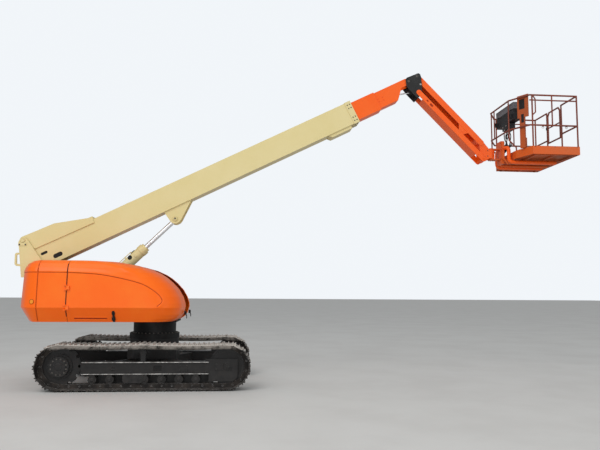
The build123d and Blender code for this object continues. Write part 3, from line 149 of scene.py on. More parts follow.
scene.world = bpy.data.worlds.new("surround")
scene.world.use_nodes = True
sky = scene.world.node_tree
backdrop = sky.nodes["Background"]
backdrop.inputs["Color"].default_value = (0.93, 0.965, 1.0, 1)
ray = add_node(sky, "ShaderNodeLightPath").outputs
mirrored = ramp(sky, ray["Is Glossy Ray"], 0.0, 1.0, 0.62, 0.34)
sky.links.new(ramp(sky, ray["Is Camera Ray"], 0.0, 1.0, mirrored, 0.95), backdrop.inputs["Strength"])
for name, target, size, height, power, spot in (
        ("key_lamp", (1.5, 0, 2), 14, 14, 2120, (-9, -15, 17)),
        ("fill_lamp", (0, 0, 1.5), 16, 16, 560, (14, -16, 9)),
        ("low_lamp", (0, 0, 1.8), 16, 1.6, 260, (-2, -17, 1.0))):
    lamp = bpy.data.objects.new(name, bpy.data.lights.new(name, "AREA"))
    lamp.data.shape = "RECTANGLE"
    lamp.data.size = size
    lamp.data.size_y = height
    lamp.data.energy = power
    lamp.location = spot
    lamp.rotation_euler = (Vector(target) - Vector(spot)).to_track_quat("-Z", "Y").to_euler()
    scene.collection.objects.link(lamp)
unlit = bpy.data.collections.new("unlit_by_low_lamp")
unlit.objects.link(floor)
unlit.collection_objects[0].light_linking.link_state = "EXCLUDE"
lamp.light_linking.receiver_collection = unlit


# Tracks: pressed steel shoes on a forged chain, dark with dried mud, with grouser tips and rail edges that
# the ground has worn bright. They are dusty on top, and the dust thickens so steeply up the top run that it
# is partly painted light on the lit shoe ends. Four hex bolts hold each shoe to its two links, and a pressed
# pin joins each link to the next.
def upward(tree, vector):
    return add_node(tree, "ShaderNodeSeparateXYZ", {"Vector": vector}).outputs["Z"]


# Settled dust lies on what faces up and thickens across a height span: towards the ground on most coats, and
# up the top run on the track shoes. On the covers its low band is painted light bounced up from the floor,
# and on the top run of the tracks it is partly painted light.
dust_and_light_group, given, result = shader_group("dust_and_painted_light", ("Colour", "Dust Colour", "Amount", "Low", "High"),
    ("Colour", "Mask"))
facing = add_node(dust_and_light_group, "ShaderNodeNewGeometry").outputs["Normal"]
flat = ramp(dust_and_light_group, upward(dust_and_light_group, facing), 0.25, 0.95)
low = ramp(dust_and_light_group, upward(dust_and_light_group, here(dust_and_light_group)), given["High"], given["Low"])
speck = ramp(dust_and_light_group, noise(dust_and_light_group, Scale=9.0, Detail=8.0, Roughness=0.7), 0.35, 0.75)
cover = maths(dust_and_light_group, maths(dust_and_light_group, flat, low, "ADD"), speck)
dusty = maths(dust_and_light_group, cover, given["Amount"], use_clamp=True)
dust_and_light_group.links.new(mix(dust_and_light_group, dusty, given["Colour"], given["Dust Colour"]), result["Colour"])
dust_and_light_group.links.new(dusty, result["Mask"])

# Edge wear finds sharp edges by how far a rounded normal leans from the true one.
edges, given, result = shader_group("edge_wear", ("Radius", "Amount"), ("Mask",))
rounded = add_node(edges, "ShaderNodeBevel", {"Radius": given["Radius"]}, samples=4).outputs["Normal"]
face_normal = add_node(edges, "ShaderNodeNewGeometry").outputs["Normal"]
lean = add_node(edges, "ShaderNodeVectorMath", {0: rounded, 1: face_normal},
    operation="DOT_PRODUCT").outputs["Value"]
broken = ramp(edges, noise(edges, Scale=26.0, Detail=6.0, Roughness=0.75), 0.42, 0.6)
worn = maths(edges, ramp(edges, lean, 0.995, 0.86), broken)
edges.links.new(maths(edges, worn, given["Amount"]), result["Mask"])


# A weathered coat: mottled colour under dust, with worn edges; on the cover enamel and the track shoes the
# dust mask also carries painted light. A dust amount given as four numbers is a height span and the amounts
# at its ends. Gloss names the mask that it follows.
def weathered(name, mottling, dusting, wearing, gloss, relief, **shader):
    material, tree, bsdf = new_material(name, **shader)
    base = mottled(tree, *mottling)
    dust_colour, amount, low, high = dusting
    if isinstance(amount, tuple):
        amount = ramp(tree, upward(tree, here(tree)), *amount)
    dust = place_group(tree, dust_and_light_group, {"Colour": base["Colour"], "Dust Colour": (*dust_colour, 1),
        "Amount": amount, "Low": low, "High": high})
    bare, radius, share = wearing
    wear = place_group(tree, edges, {"Radius": radius, "Amount": share})
    tree.links.new(mix(tree, wear["Mask"], dust["Colour"], (*bare, 1)), bsdf.inputs["Base Color"])
    mask = {"base": base, "dust": dust, "wear": wear}[gloss[0]]["Mask"]
    tree.links.new(ramp(tree, mask, 0.0, 1.0, *gloss[1:]), bsdf.inputs["Roughness"])
    bump(tree, bsdf, *relief)
    return material


def dress(material, *names):
    for name in names:
        data = nodes[name].data
        if not data.materials:
            data.materials.append(material)
        for slot in range(len(data.materials)):
            data.materials[slot] = material


# The dust amount climbs with height onto the top run: real dust, and also painted light for the top run's lit
# shoe ends above the shaded lower run.
shoe_steel = weathered("shoe_steel", ((0.013, 0.011, 0.010), (0.050, 0.040, 0.033), 7.0, 0.9),
    ((0.50, 0.46, 0.415), (0.35, 0.72, 0.25, 3.6), 0.75, 0.66), ((0.44, 0.43, 0.42), 0.006, 0.8),
    ("wear", 0.82, 0.38), (45.0, 0.35, 0.004, 8.0, 0.003), Metallic=0.0, Specular_IOR_Level=0.35)
dress(shoe_steel, "track_left", "track_right")
bolt_steel = two_tone("bolt_steel", ((0.085, 0.078, 0.072), (0.20, 0.18, 0.16), 60.0, 0.9), (0.38, 0.6),
    (400.0, 0.2, 0.0006, 4.0), Metallic=0.75)


def growth(name, **sizes):
    tree = bpy.data.node_groups.new(name, "GeometryNodeTree")
    tree.interface.new_socket("Geometry", in_out="INPUT", socket_type="NodeSocketGeometry")
    for label, size in sizes.items():
        socket = tree.interface.new_socket(label.replace("_", " "), in_out="INPUT",
            socket_type="NodeSocketFloat")
        socket.default_value = size
    tree.interface.new_socket("Finish", in_out="INPUT", socket_type="NodeSocketMaterial")
    tree.interface.new_socket("Geometry", in_out="OUTPUT", socket_type="NodeSocketGeometry")
    return tree, tree.nodes.new("NodeGroupInput").outputs


def yield_mesh(tree, given, geometry):
    real = add_node(tree, "GeometryNodeRealizeInstances", {"Geometry": geometry}).outputs["Geometry"]
    coat = add_node(tree, "GeometryNodeSetMaterial", {"Geometry": real, "Material": given["Finish"]})
    add_node(tree, "NodeGroupOutput", {"Geometry": coat.outputs["Geometry"]})


def plant(tree, given, shape, rotation):
    placed = add_node(tree, "GeometryNodeInstanceOnPoints", {"Points": given["Geometry"], "Instance": shape,
        "Rotation": rotation})
    yield_mesh(tree, given, placed.outputs["Instances"])


hex_heads, given = growth("hex_heads", Head_Radius=0.012, Head_Height=0.009, Washer_Radius=0.016,
    Washer_Height=0.003)
one = hex_heads.nodes.new("GeometryNodeJoinGeometry")
for sides, part, lift in ((6, "Head", given["Washer Height"]), (12, "Washer", None)):
    drum = add_node(hex_heads, "GeometryNodeMeshCylinder", {"Vertices": sides,
        "Radius": given[part + " Radius"], "Depth": given[part + " Height"]})
    up = maths(hex_heads, given[part + " Height"], 0.5)
    if lift:
        up = maths(hex_heads, up, lift, "ADD")
    offset = add_node(hex_heads, "ShaderNodeCombineXYZ", {"Z": up}).outputs["Vector"]
    raised = add_node(hex_heads, "GeometryNodeTransform", {"Geometry": drum.outputs["Mesh"],
        "Translation": offset})
    hex_heads.links.new(raised.outputs["Geometry"], one.inputs["Geometry"])
facing = add_node(hex_heads, "GeometryNodeInputNamedAttribute", {"Name": "facing"}, data_type="FLOAT_VECTOR")
aimed = add_node(hex_heads, "FunctionNodeAlignRotationToVector", {"Vector": facing.outputs["Attribute"]},
    axis="Z")
spin = add_node(hex_heads, "FunctionNodeRandomValue",
                {"Min": (0.0, 0.0, 0.0), "Max": (0.0, 0.0, 1.05), "Seed": 7}, data_type="FLOAT_VECTOR")
turned = add_node(hex_heads, "FunctionNodeRotateRotation", {"Rotation": aimed.outputs["Rotation"],
    "Rotate By": spin.outputs["Value"]}, rotation_space="LOCAL")
plant(hex_heads, given, one.outputs["Geometry"], turned.outputs["Rotation"])


def grown(name, tree, mesh, body, **values):
    carrier = bpy.data.objects.new(name, mesh)
    scene.collection.objects.link(carrier)
    modifier = carrier.modifiers.new("grow", "NODES")
    modifier.node_group = tree
    sockets = {item.name: item.identifier for item in tree.interface.items_tree if item.in_out == "INPUT"}
    for label, value in values.items():
        modifier[sockets[label.replace("_", " ")]] = value
    seen = carrier.evaluated_get(bpy.context.evaluated_depsgraph_get())
    made = bpy.data.meshes.new_from_object(seen)
    carrier.modifiers.remove(modifier)
    carrier.data = made
    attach(carrier, body)


def bolts(name, body, spots, radius=0.012, finish=bolt_steel):
    mesh = bpy.data.meshes.new(name)
    mesh.from_pydata([spot for spot, _ in spots], [], [])
    facing = mesh.attributes.new("facing", "FLOAT_VECTOR", "POINT")
    for k, (_, out) in enumerate(spots):
        facing.data[k].vector = out
    grown(name, hex_heads, mesh, body, Head_Radius=radius, Head_Height=radius * 0.75,
        Washer_Radius=radius * 1.35, Washer_Height=radius * 0.25, Finish=finish)


SIDES = ((-1, "right"), (1, "left"))
SLEW_X = -2.694
SHOES = 45
TOP_SAG = 0.018
PITCH_RADIUS = 0.322
SPROCKET_TEETH = 12
PITCH = 2 * math.pi * PITCH_RADIUS / SPROCKET_TEETH
AXLE_Z = 0.395
SPROCKET_X = SLEW_X - 1.405
IDLER_X = SPROCKET_X + (SHOES * PITCH - 2 * math.pi * PITCH_RADIUS) / 2
CARRIER_X = SLEW_X - 0.040
TRACK_Y = 1.005
SHOE_FACE = 0.051


def chain_point(distance):
    run = IDLER_X - SPROCKET_X
    arc = math.pi * PITCH_RADIUS
    if distance <= run:
        return SPROCKET_X + distance, AXLE_Z - PITCH_RADIUS
    if distance <= run + arc:
        turn = (distance - run) / PITCH_RADIUS - math.pi / 2
        return IDLER_X + PITCH_RADIUS * math.cos(turn), AXLE_Z + PITCH_RADIUS * math.sin(turn)
    if distance <= 2 * run + arc:
        x = IDLER_X - (distance - run - arc)
        start, end = (SPROCKET_X, CARRIER_X) if x < CARRIER_X else (CARRIER_X, IDLER_X)
        share = (x - start) / (end - start)
        return x, AXLE_Z + PITCH_RADIUS - 4 * TOP_SAG * share * (1 - share)
    turn = (distance - 2 * run - arc) / PITCH_RADIUS + math.pi / 2
    return SPROCKET_X + PITCH_RADIUS * math.cos(turn), AXLE_Z + PITCH_RADIUS * math.sin(turn)


def skin_rings(bm, rings):
    for low, high in zip(rings, rings[1:]):
        sides = max(len(low), len(high))
        for k in range(sides):
            n = (k + 1) % sides
            if len(low) == 1:
                bm.faces.new((low[0], high[n], high[k]))
            elif len(high) == 1:
                bm.faces.new((low[k], low[n], high[0]))
            else:
                bm.faces.new((low[k], low[n], high[n], high[k]))


# The profile's radii and rises along the axis are in millimetres, as are all strip rows.
def add_lathe(bm, centre, axis, profile, sides=24):
    axis = Vector(axis).normalized()
    across = axis.orthogonal().normalized()
    other = axis.cross(across)
    turns = [2 * math.pi * k / sides for k in range(sides)]
    rings = []
    for radius, rise in profile:
        middle = Vector(centre) + axis * (rise / 1000)
        spokes = [(across * math.cos(a) + other * math.sin(a)) * (radius / 1000) for a in turns]
        rings.append([bm.verts.new(middle + spoke) for spoke in (spokes if radius else [Vector()])])
    skin_rings(bm, rings)


def new_piece(name, body, material, bm, bevel=0.0, smooth=False, closed=True):
    if closed:
        bmesh.ops.recalc_face_normals(bm, faces=bm.faces)
    else:
        bm.normal_update()
    mesh = bpy.data.meshes.new(name)
    bm.to_mesh(mesh)
    bm.free()
    mesh.materials.append(material)
    if smooth:
        mesh.shade_smooth()
    piece = bpy.data.objects.new(name, mesh)
    scene.collection.objects.link(piece)
    if bevel:
        soften = piece.modifiers.new("soften", "BEVEL")
        soften.width = bevel
        soften.segments = 2
        soften.limit_method = "ANGLE"
    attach(piece, body)


pins = [Vector((x, 0, z)) for x, z in (chain_point(k * PITCH) for k in range(SHOES))]
for side, hand in SIDES:
    shoe_bolts, bosses = [], bmesh.new()
    for k, pin in enumerate(pins):
        along = (pins[(k + 1) % SHOES] - pin).normalized()
        out = Vector((along.z, 0, -along.x))
        shoe_bolts += [(pin + along * t + out * SHOE_FACE + Vector((0, side * TRACK_Y + y, 0)), out)
                       for t in (0.047, 0.122) for y in (-0.055, 0.055)]
        for face in (-1, 1):
            add_lathe(bosses, pin + Vector((0, side * TRACK_Y + face * 0.072, 0)), (0, face, 0),
                      ((0, 0), (19, 0), (19, 3), (12, 5), (10, 2), (0, 2)), 14)
    bolts("shoe_bolts_" + hand, "undercarriage", shoe_bolts, 0.0115, shoe_steel)
    new_piece("link_pins_" + hand, "undercarriage", shoe_steel, bosses)


# Undercarriage: rolled and welded plate under a thick black coat, gray with dust where it faces up.
# Sprockets, idlers and rollers are forged and carry the same coat. The turntable deck and slew ring take a
# darker, less dusty copy of it, which is painted shade for their place under the covers.
def black_coat(name, colour, second, dust_colour, amount, low, high, rough, bare):
    return weathered(name, (colour, second, 5.0, 0.8), (dust_colour, amount, low, high), (bare, 0.004, 0.7),
        ("base", rough, rough + 0.25), (30.0, 0.12, 0.002, 6.0, 0.004), Specular_IOR_Level=0.34)


frame_black = black_coat("frame_black", (0.0075, 0.007, 0.0072), (0.019, 0.0175, 0.017), (0.21, 0.19, 0.17),
    0.26, -0.2, 0.55, 0.42, (0.15, 0.14, 0.135))
dress(frame_black, "car_body", "track_frame_left", "track_frame_right", "sprocket_left", "sprocket_right",
      "idler_left", "idler_right", "rollers_left", "rollers_right", "engine_block")
shaded_deck_black = black_coat("shaded_deck_black", (0.003, 0.003, 0.003), (0.007, 0.0065, 0.0065), (0.07, 0.06, 0.05),
    0.15, -0.2, 0.55, 0.5, (0.06, 0.055, 0.05))
dress(shaded_deck_black, "turntable_deck", "slew_ring")
# Pale strips along the track frames' flange edges are painted highlight: the thin light line that a flange
# edge catches.
flange_highlight = two_tone("flange_highlight", ((0.22, 0.21, 0.20), (0.72, 0.70, 0.67), 14.0, 1.0), (0.7, 0.42),
    (120.0, 0.3, 0.001, 5.0), Metallic=0.3)


# Final drives, idlers and rollers: turned flanges bolted up in circles, raised end caps
# with plugs, keeper plates on the axle ends and a cover over the track's tensioner.
UP = Vector((0, 0, 1))


def machine(x, y, z):
    return Vector((SLEW_X + x, y, z))


def circle(count, radius, phase=0.5):
    turns = [2 * math.pi * (k + phase) / count for k in range(count)]
    return [(radius * math.cos(turn), radius * math.sin(turn)) for turn in turns]


def add_prism(bm, outline, depth):
    low = [bm.verts.new(p) for p in outline]
    high = [bm.verts.new(Vector(p) + Vector(depth)) for p in outline]
    bm.faces.new(low[::-1])
    bm.faces.new(high)
    for k in range(len(low)):
        n = (k + 1) % len(low)
        bm.faces.new((low[k], low[n], high[n], high[k]))


def add_slab(bm, low, high):
    (x0, x1), (y0, y1), (z0, z1) = (sorted(pair) for pair in zip(low, high))
    add_prism(bm, [(x0, y0, z0), (x1, y0, z0), (x1, y1, z0), (x0, y1, z0)], (0, 0, z1 - z0))


def slabs(name, body, material, boxes, side=1, bevel=0.0):
    bm = bmesh.new()
    for x0, x1, y0, y1, z0, z1 in boxes:
        add_slab(bm, machine(x0, side * y0, z0), machine(x1, side * y1, z1))
    new_piece(name, body, material, bm, bevel)


ROLLERS = 7
ROLLER_STEP = 0.285
ROLLER_RADIUS = 0.070
RAIL_HEIGHT = 0.0363
ROLLER_Z = AXLE_Z - PITCH_RADIUS + RAIL_HEIGHT + ROLLER_RADIUS
FIRST_ROLLER = (SPROCKET_X + IDLER_X) / 2 - ROLLER_STEP * (ROLLERS // 2)
FRAME_Y = 1.0905
COVER_Y = 1.097
TENSIONER_COVERS = ((0.560, 0.700, 0.315, 0.415), (-0.560, -0.500, 0.330, 0.400),
    (1.170, 1.300, 0.330, 0.440))
frame_spots = {}
for side, hand in SIDES:
    out = Vector((0, side, 0))
    for label, count, radius, y, finish in (("drive_bolts_", 20, 0.186, 1.065, frame_black),
            ("hub_bolts_", 12, 0.128, 1.130, bolt_steel)):
        spots = [(Vector((SPROCKET_X + u, side * y, AXLE_Z + v)), out) for u, v in circle(count, radius)]
        bolts(label + hand, "undercarriage", spots, 0.011, finish)
    caps = bmesh.new()
    hub = Vector((SPROCKET_X, side * 1.148, AXLE_Z))
    add_lathe(caps, hub, out, ((0, -2), (98, -2), (98, 2), (90, 4), (60, 4), (54, 10), (0, 12)), 36)
    for turn in (0.6, 2.7, 4.8):
        add_lathe(caps, hub + Vector((0.076 * math.cos(turn), 0, 0.076 * math.sin(turn))), out,
                  ((0, 0), (12, 0), (12, 9), (6, 10), (6, 6), (0, 6)), 8)
    idler_end = Vector((IDLER_X, side * FRAME_Y, AXLE_Z))
    add_lathe(caps, idler_end, out, ((40.5, 0), (72, 0), (72, 8), (66, 11), (40.5, 11)), 36)
    add_lathe(caps, Vector((IDLER_X, side * 1.1095, AXLE_Z)), out,
              ((0, 0), (30, 0), (28, 4), (12, 4), (10, 1), (0, 1)), 24)
    spots = [idler_end + Vector((0.056 * math.cos(turn), side * 0.011, 0.056 * math.sin(turn)))
             for turn in (0.8, 2.35, 3.9, 5.5)]
    for k in range(ROLLERS):
        axle = Vector((FIRST_ROLLER + ROLLER_STEP * k, side * 1.09, ROLLER_Z))
        add_lathe(caps, axle, out, ((0, 0), (31, 0), (31, 4), (24, 8), (8, 8), (6, 5), (0, 5)), 20)
        spots += [axle + Vector((x, 0, 0.052)) for x in (-0.029, 0.029)]
    spots += [machine(x, side * FRAME_Y, z) for x in (-0.75, -0.25, 0.45, 0.78, 1.0) for z in (0.440, 0.296)]
    frame_spots[side] = [(spot, out) for spot in spots]
    new_piece("drive_caps_" + hand, "undercarriage", frame_black, caps)

for side, hand in SIDES:
    slabs("frame_covers_" + hand, "undercarriage", frame_black,
          [(x0, x1, 1.09, COVER_Y, z0, z1) for x0, x1, z0, z1 in TENSIONER_COVERS], side, 0.0015)
    frame_spots[side] += [(machine(x, side * COVER_Y, z), Vector((0, side, 0)))
        for x0, x1, z0, z1 in TENSIONER_COVERS
        for x in (x0 + 0.015, x1 - 0.015) for z in (z0 + 0.015, z1 - 0.015)]
    # A thin black plate in the beam's pocket is painted shade for its dark interior.
    slabs("beam_pocket_shade_" + hand, "undercarriage", shaded_deck_black, [(0.136, 0.271, 1.08, 1.085, 0.321, 0.407)],
        side)
    # A black plate along the inside of the track is painted shade: it hides the lit floor that would show
    # through under the machine.
    slabs("inner_shade_plate_" + hand, "undercarriage", frame_black, [(-0.96, 1.13, 0.906, 0.9195, 0.086, 0.268)],
        side, 0.004)
    # Painted highlight along the top and bottom flange edges.
    slabs("flange_highlights_" + hand, "undercarriage", flange_highlight,
        [(-1.04, 1.055, 1.11, 1.1112, z0, z1) for z0, z1 in ((0.4575, 0.4695), (0.2660, 0.2770))], side,
        0.0004)
    bolts("frame_bolts_" + hand, "undercarriage", frame_spots[side], 0.009, frame_black)

ring_spots = [(machine(u, v, 0.895), UP) for u, v in circle(36, 0.418)]
ring_spots += [(machine(x * u, y * v, 0.450), UP) for x in (-1, 1) for y in (-1, 1)
               for u, v in ((0.30, 0.86), (0.42, 0.86), (0.54, 0.86), (0.30, 0.74), (0.42, 0.74))]
bolts("ring_bolts", "undercarriage", ring_spots, 0.013)

satin_black = black_coat("satin_black", (0.018, 0.018, 0.018), (0.030, 0.030, 0.029), (0.12, 0.11, 0.10), 0.2,
    -1, 0, 0.32, (0.13, 0.13, 0.13))
dress(satin_black, "knuckle", "level_barrel", "jib_barrel")


# Covers: moulded shells in sprayed enamel with a slight orange peel, sun-bleached in soft clouds, with a
# little road film on what faces up and small chips at the edges. Lower down the film is painted light: a
# paler band for light bounced up from the floor. A pressed lip runs along the shoulder and turns down round
# the nose; the lower edge has a hand recess.
def enamel(name, colour, faded, film_and_bounce, amount, low, high, rough=0.34, chip=(0.09, 0.05, 0.035), chips=0.5):
    return weathered(name, (colour, faded, 1.1, 0.7), (film_and_bounce, amount, low, high), (chip, 0.0035, chips),
        ("dust", rough, 0.75), (220.0, 0.05, 0.001, 2.0, 0.004), Coat_Weight=0.07,
        Coat_Roughness=0.2, Specular_IOR_Level=0.26)


# The film's band below 1.35 m is painted light, bounced up from the floor onto the covers' lower slope.
orange = enamel("orange_enamel", (1.0, 0.142, 0.002), (1.0, 0.185, 0.008), (0.70, 0.22, 0.06), 0.10, 0.9,
    1.35)
dress(orange, "counterweight", "rear_cover_left", "rear_cover_right", "hood_door_left", "hood_door_right")
# This dark orange is painted shade: strips in the grooves below the lips, in the hand recess and in the
# counterweight seam, and plates in slots. The reflector's rim takes it too.
dark_orange_and_shade = two_tone("dark_orange_and_shade", ((0.44, 0.040, 0.004), (0.27, 0.024, 0.004), 9.0, 0.8), (0.5, 0.75),
    (300.0, 0.1, 0.0006, 3.0), Specular_IOR_Level=0.2)
shadow_rubber = two_tone("shadow_rubber", ((0.009, 0.009, 0.009), (0.028, 0.026, 0.024), 20.0, 0.8),
    (0.55, 0.78), (500.0, 0.2, 0.0006, 4.0), Specular_IOR_Level=0.3)
amber, tree, bsdf = new_material("amber_lens", Roughness=0.18, Coat_Weight=0.5)
facets = add_node(tree, "ShaderNodeTexVoronoi", {"Vector": here(tree), "Scale": 380.0}).outputs["Distance"]
glow = mix(tree, ramp(tree, facets, 0.0, 0.6), (0.98, 0.42, 0.03, 1), (0.86, 0.26, 0.01, 1))
tree.links.new(glow, bsdf.inputs["Base Color"])
relief = add_node(tree, "ShaderNodeBump", {"Height": facets, "Strength": 0.5, "Distance": 0.0008})
tree.links.new(relief.outputs["Normal"], bsdf.inputs["Normal"])


def surface_of(node):
    mesh = nodes[node].data
    return BVHTree.FromPolygons([v.co.copy() for v in mesh.vertices],
        [tuple(p.vertices) for p in mesh.polygons])


def outer_point(skin, x, side, z):
    hit, normal, _, _ = skin.ray_cast(Vector((x, side * 3, z)), Vector((0, -side, 0)))
    return hit, (-normal if hit and normal.y * side < 0 else normal)


def smooth_path(points, steps):
    ends = [2 * points[0] - points[1]] + list(points) + [2 * points[-1] - points[-2]]
    path = []
    for a, b, c, d in zip(ends, ends[1:], ends[2:], ends[3:]):
        for t in (k / steps for k in range(steps)):
            path.append(0.5 * (2 * b + (c - a) * t + (2 * a - 5 * b + 4 * c - d) * t * t
                + (3 * b - a - 3 * c + d) * t ** 3))
    return path + [points[-1]]


# Hinge leaves stand out past WIDEST, and strips leave them bare.
WIDEST = 1.2365


def lay_strip(bm, skin, path, side, rows):
    strip = []
    for k, spot in enumerate(path):
        along = (path[min(k + 1, len(path) - 1)] - path[max(k - 1, 0)]).normalized()
        across = Vector((-along.y, along.x))
        line = []
        for shift, rise in rows:
            aim = spot + across * (shift / 1000)
            hit, normal = outer_point(skin, aim.x, side, aim.y)
            if hit is None or abs(hit.y) > WIDEST:
                break
            line.append(bm.verts.new(hit + normal * (rise / 1000)))
        strip.append(line if len(line) == len(rows) else [])
    for low, high in zip(strip, strip[1:]):
        for k in range(min(len(low), len(high)) - 1):
            corners = (low[k], high[k], high[k + 1], low[k + 1])
            bm.faces.new(corners if side > 0 else corners[::-1])
    bmesh.ops.delete(bm, geom=[vert for vert in bm.verts if not vert.link_faces], context="VERTS")


def strips(name, body, material, side, *laid):
    bm = bmesh.new()
    for skin, path, rows in laid:
        lay_strip(bm, skin, path, side, rows)
    new_piece(name, body, material, bm, smooth=True, closed=False)


def straight(x0, z0, x1, z1, steps):
    return [Vector((x0 + (x1 - x0) * k / steps, z0 + (z1 - z0) * k / steps)) + Vector((SLEW_X, 0))
            for k in range(steps + 1)]


LIP = ((75, 0.4), (45, 3), (16, 7.5), (3, 8.5), (0, 7), (-4, 0.4))
LIP_GROOVE_SHADE = ((-3.5, 0.8), (-12.5, 0.8))
DOOR_LINE = ((-1.294, 1.960), (-1.02, 1.950), (-0.76, 1.929), (-0.429, 1.869), (-0.096, 1.783), (0.10, 1.680),
             (0.215, 1.585), (0.262, 1.515), (0.262, 1.465), (0.225, 1.420), (0.185, 1.388))
for side, hand in SIDES:
    door, rear, tail = (surface_of(node) for node in ("hood_door_" + hand, "rear_cover_" + hand,
        "counterweight"))
    hood, out = "door_" + hand, Vector((0, side, 0))
    shoulder = [p + Vector((SLEW_X, 0)) for p in smooth_path([Vector(p) for p in DOOR_LINE], 10)]
    behind = ((rear, straight(-1.771, 1.962, -1.314, 1.962, 30)),
        (tail, straight(-2.262, 1.962, -1.794, 1.962, 30)))
    strips("door_lip_" + hand, hood, orange, side, (door, shoulder, LIP))
    strips("cover_lip_" + hand, "turntable", orange, side, *((skin, path, LIP) for skin, path in behind))
    # Painted shade in the groove below the lip.
    strips("cover_groove_shade_" + hand, "turntable", dark_orange_and_shade, side,
           *((skin, path, LIP_GROOVE_SHADE) for skin, path in behind))
    recess = straight(-1.183, 1.200, -0.646, 1.200, 24)
    strips("recess_lip_" + hand, hood, orange, side,
           (door, recess, ((18, 0.4), (14, 4), (4, 5), (2, 0.6))),
           (door, recess, ((-20, 0.4), (-24, 5), (-34, 4), (-38, 0.4))))
    strips("recess_shade_" + hand, hood, dark_orange_and_shade, side, (door, recess, ((3, 1), (-21, 1))))
    # Painted shade in the groove below the door's lip.
    strips("door_groove_shade_" + hand, hood, dark_orange_and_shade, side, (door, shoulder, ((-3.5, 0.8), (-13.5, 0.8))))
    # A black strip along the seam between door and rear cover is painted shade for the dark gap.
    strips("seam_shades_" + hand, "turntable", shadow_rubber, side,
           (rear, straight(-1.3085, 1.225, -1.3085, 2.1, 80), ((5.5, 0.4), (4, 3.5), (-4, 3.5), (-5.5, 0.4))))
    # Painted shade in the seam between the counterweight and the rear cover.
    strips("tail_joint_shade_" + hand, "turntable", dark_orange_and_shade, side,
           (tail, straight(-1.7865, 1.15, -1.7865, 2.1, 40), ((3, 0.6), (-3, 0.6))))

    latch = bmesh.new()
    for half, y0, z0, y1, z1, thick in (
            (0.018, 1.118, 1.150, 1.196, 1.314, 0.007), (0.030, 1.120, 1.156, 1.146, 1.210, 0.013),
            (0.026, 1.166, 1.252, 1.190, 1.302, 0.011), (0.012, 1.122, 1.160, 1.178, 1.270, 0.018)):
        add_prism(latch, [machine(-0.537 + x, side * y, z) for x, y, z in (
            (-half, y0, z0), (half, y0, z0), (half, y1, z1), (-half, y1, z1))], out * thick)
    new_piece("door_latch_" + hand, hood, shadow_rubber, latch, bevel=0.002)
    slabs("nose_strap_" + hand, hood, shadow_rubber,
          ((0.570, 0.602, 0.440, 0.475, 1.235, 1.300), (0.598, 0.612, 0.446, 0.469, 1.215, 1.292),
           (0.606, 0.620, 0.448, 0.467, 1.170, 1.225)), side, 0.003)

    spot, normal = outer_point(tail, SLEW_X - 1.856, side, 1.466)
    lens, rim = bmesh.new(), bmesh.new()
    add_lathe(lens, spot + normal * 0.001, normal, ((0, 0), (36, 0), (36, 4), (33, 7), (0, 8)), 32)
    new_piece("side_reflector_" + hand, "turntable", amber, lens)
    add_lathe(rim, spot, normal, ((36.5, 0), (42, 0), (41, 6), (36.5, 8)), 32)
    new_piece("reflector_rim_" + hand, "turntable", dark_orange_and_shade, rim)


# Boom paint: the same enamel on folded and welded plate. The base section, its root, the
# uprights and the lift cylinder are cream; the inner sections and the jib are orange.
boom_orange = enamel("boom_orange", (0.95, 0.112, 0.006), (0.95, 0.150, 0.018), (0.56, 0.26, 0.13), 0.16, -2,
    -1)
dress(boom_orange, "mid_tube", "fly_tube", "upper_arm", "lower_arm", "jib_head")
cream = enamel("cream_enamel", (0.72, 0.605, 0.290), (0.76, 0.650, 0.345), (0.42, 0.33, 0.20), 0.22, 1.0, 1.6,
               chip=(0.16, 0.10, 0.06))
dress(cream, "base_tube", "base_collar", "boom_root", "lift_lug", "collar_fairing", "boom_uprights",
    "lift_barrel")

weld_bead, given = growth("weld_bead", Bead_Radius=0.005, Ripple=0.006)
line = add_node(weld_bead, "GeometryNodeMeshToCurve", {"Mesh": given["Geometry"]}).outputs["Curve"]
even = add_node(weld_bead, "GeometryNodeResampleCurve", {"Curve": line, "Length": given["Ripple"]},
    mode="LENGTH")
lump = add_node(weld_bead, "FunctionNodeRandomValue", {2: 0.72, 3: 1.12, "Seed": 5}, data_type="FLOAT")
wavy = add_node(weld_bead, "GeometryNodeSetCurveRadius", {"Curve": even.outputs["Curve"],
    "Radius": lump.outputs[1]})
section = add_node(weld_bead, "GeometryNodeCurvePrimitiveCircle",
    {"Resolution": 6, "Radius": given["Bead Radius"]})
bead = add_node(weld_bead, "GeometryNodeCurveToMesh", {
    "Curve": wavy.outputs["Curve"], "Profile Curve": section.outputs["Curve"], "Fill Caps": True})
yield_mesh(weld_bead, given, bead.outputs["Mesh"])


def welds(name, body, lines, finish, radius=0.0045):
    mesh = bpy.data.meshes.new(name)
    verts, links = [], []
    for points in lines:
        links += [(len(verts) + k, len(verts) + k + 1) for k in range(len(points) - 1)]
        verts += list(points)
    mesh.from_pydata(verts, links, [])
    grown(name, weld_bead, mesh, body, Bead_Radius=radius, Ripple=radius * 1.5, Finish=finish)


def leaned(origin, turn, x, y, z):
    return origin + Vector((x * math.cos(turn) - z * math.sin(turn), y,
        x * math.sin(turn) + z * math.cos(turn)))


PIVOT = machine(-2.373, 0, 2.559)
BOOM_ANGLE = math.radians(26.5)
LUG_X, LUG_Z = 2.618, -0.807


def boom_point(x, y, z):
    return leaned(PIVOT, BOOM_ANGLE, x, y, z)


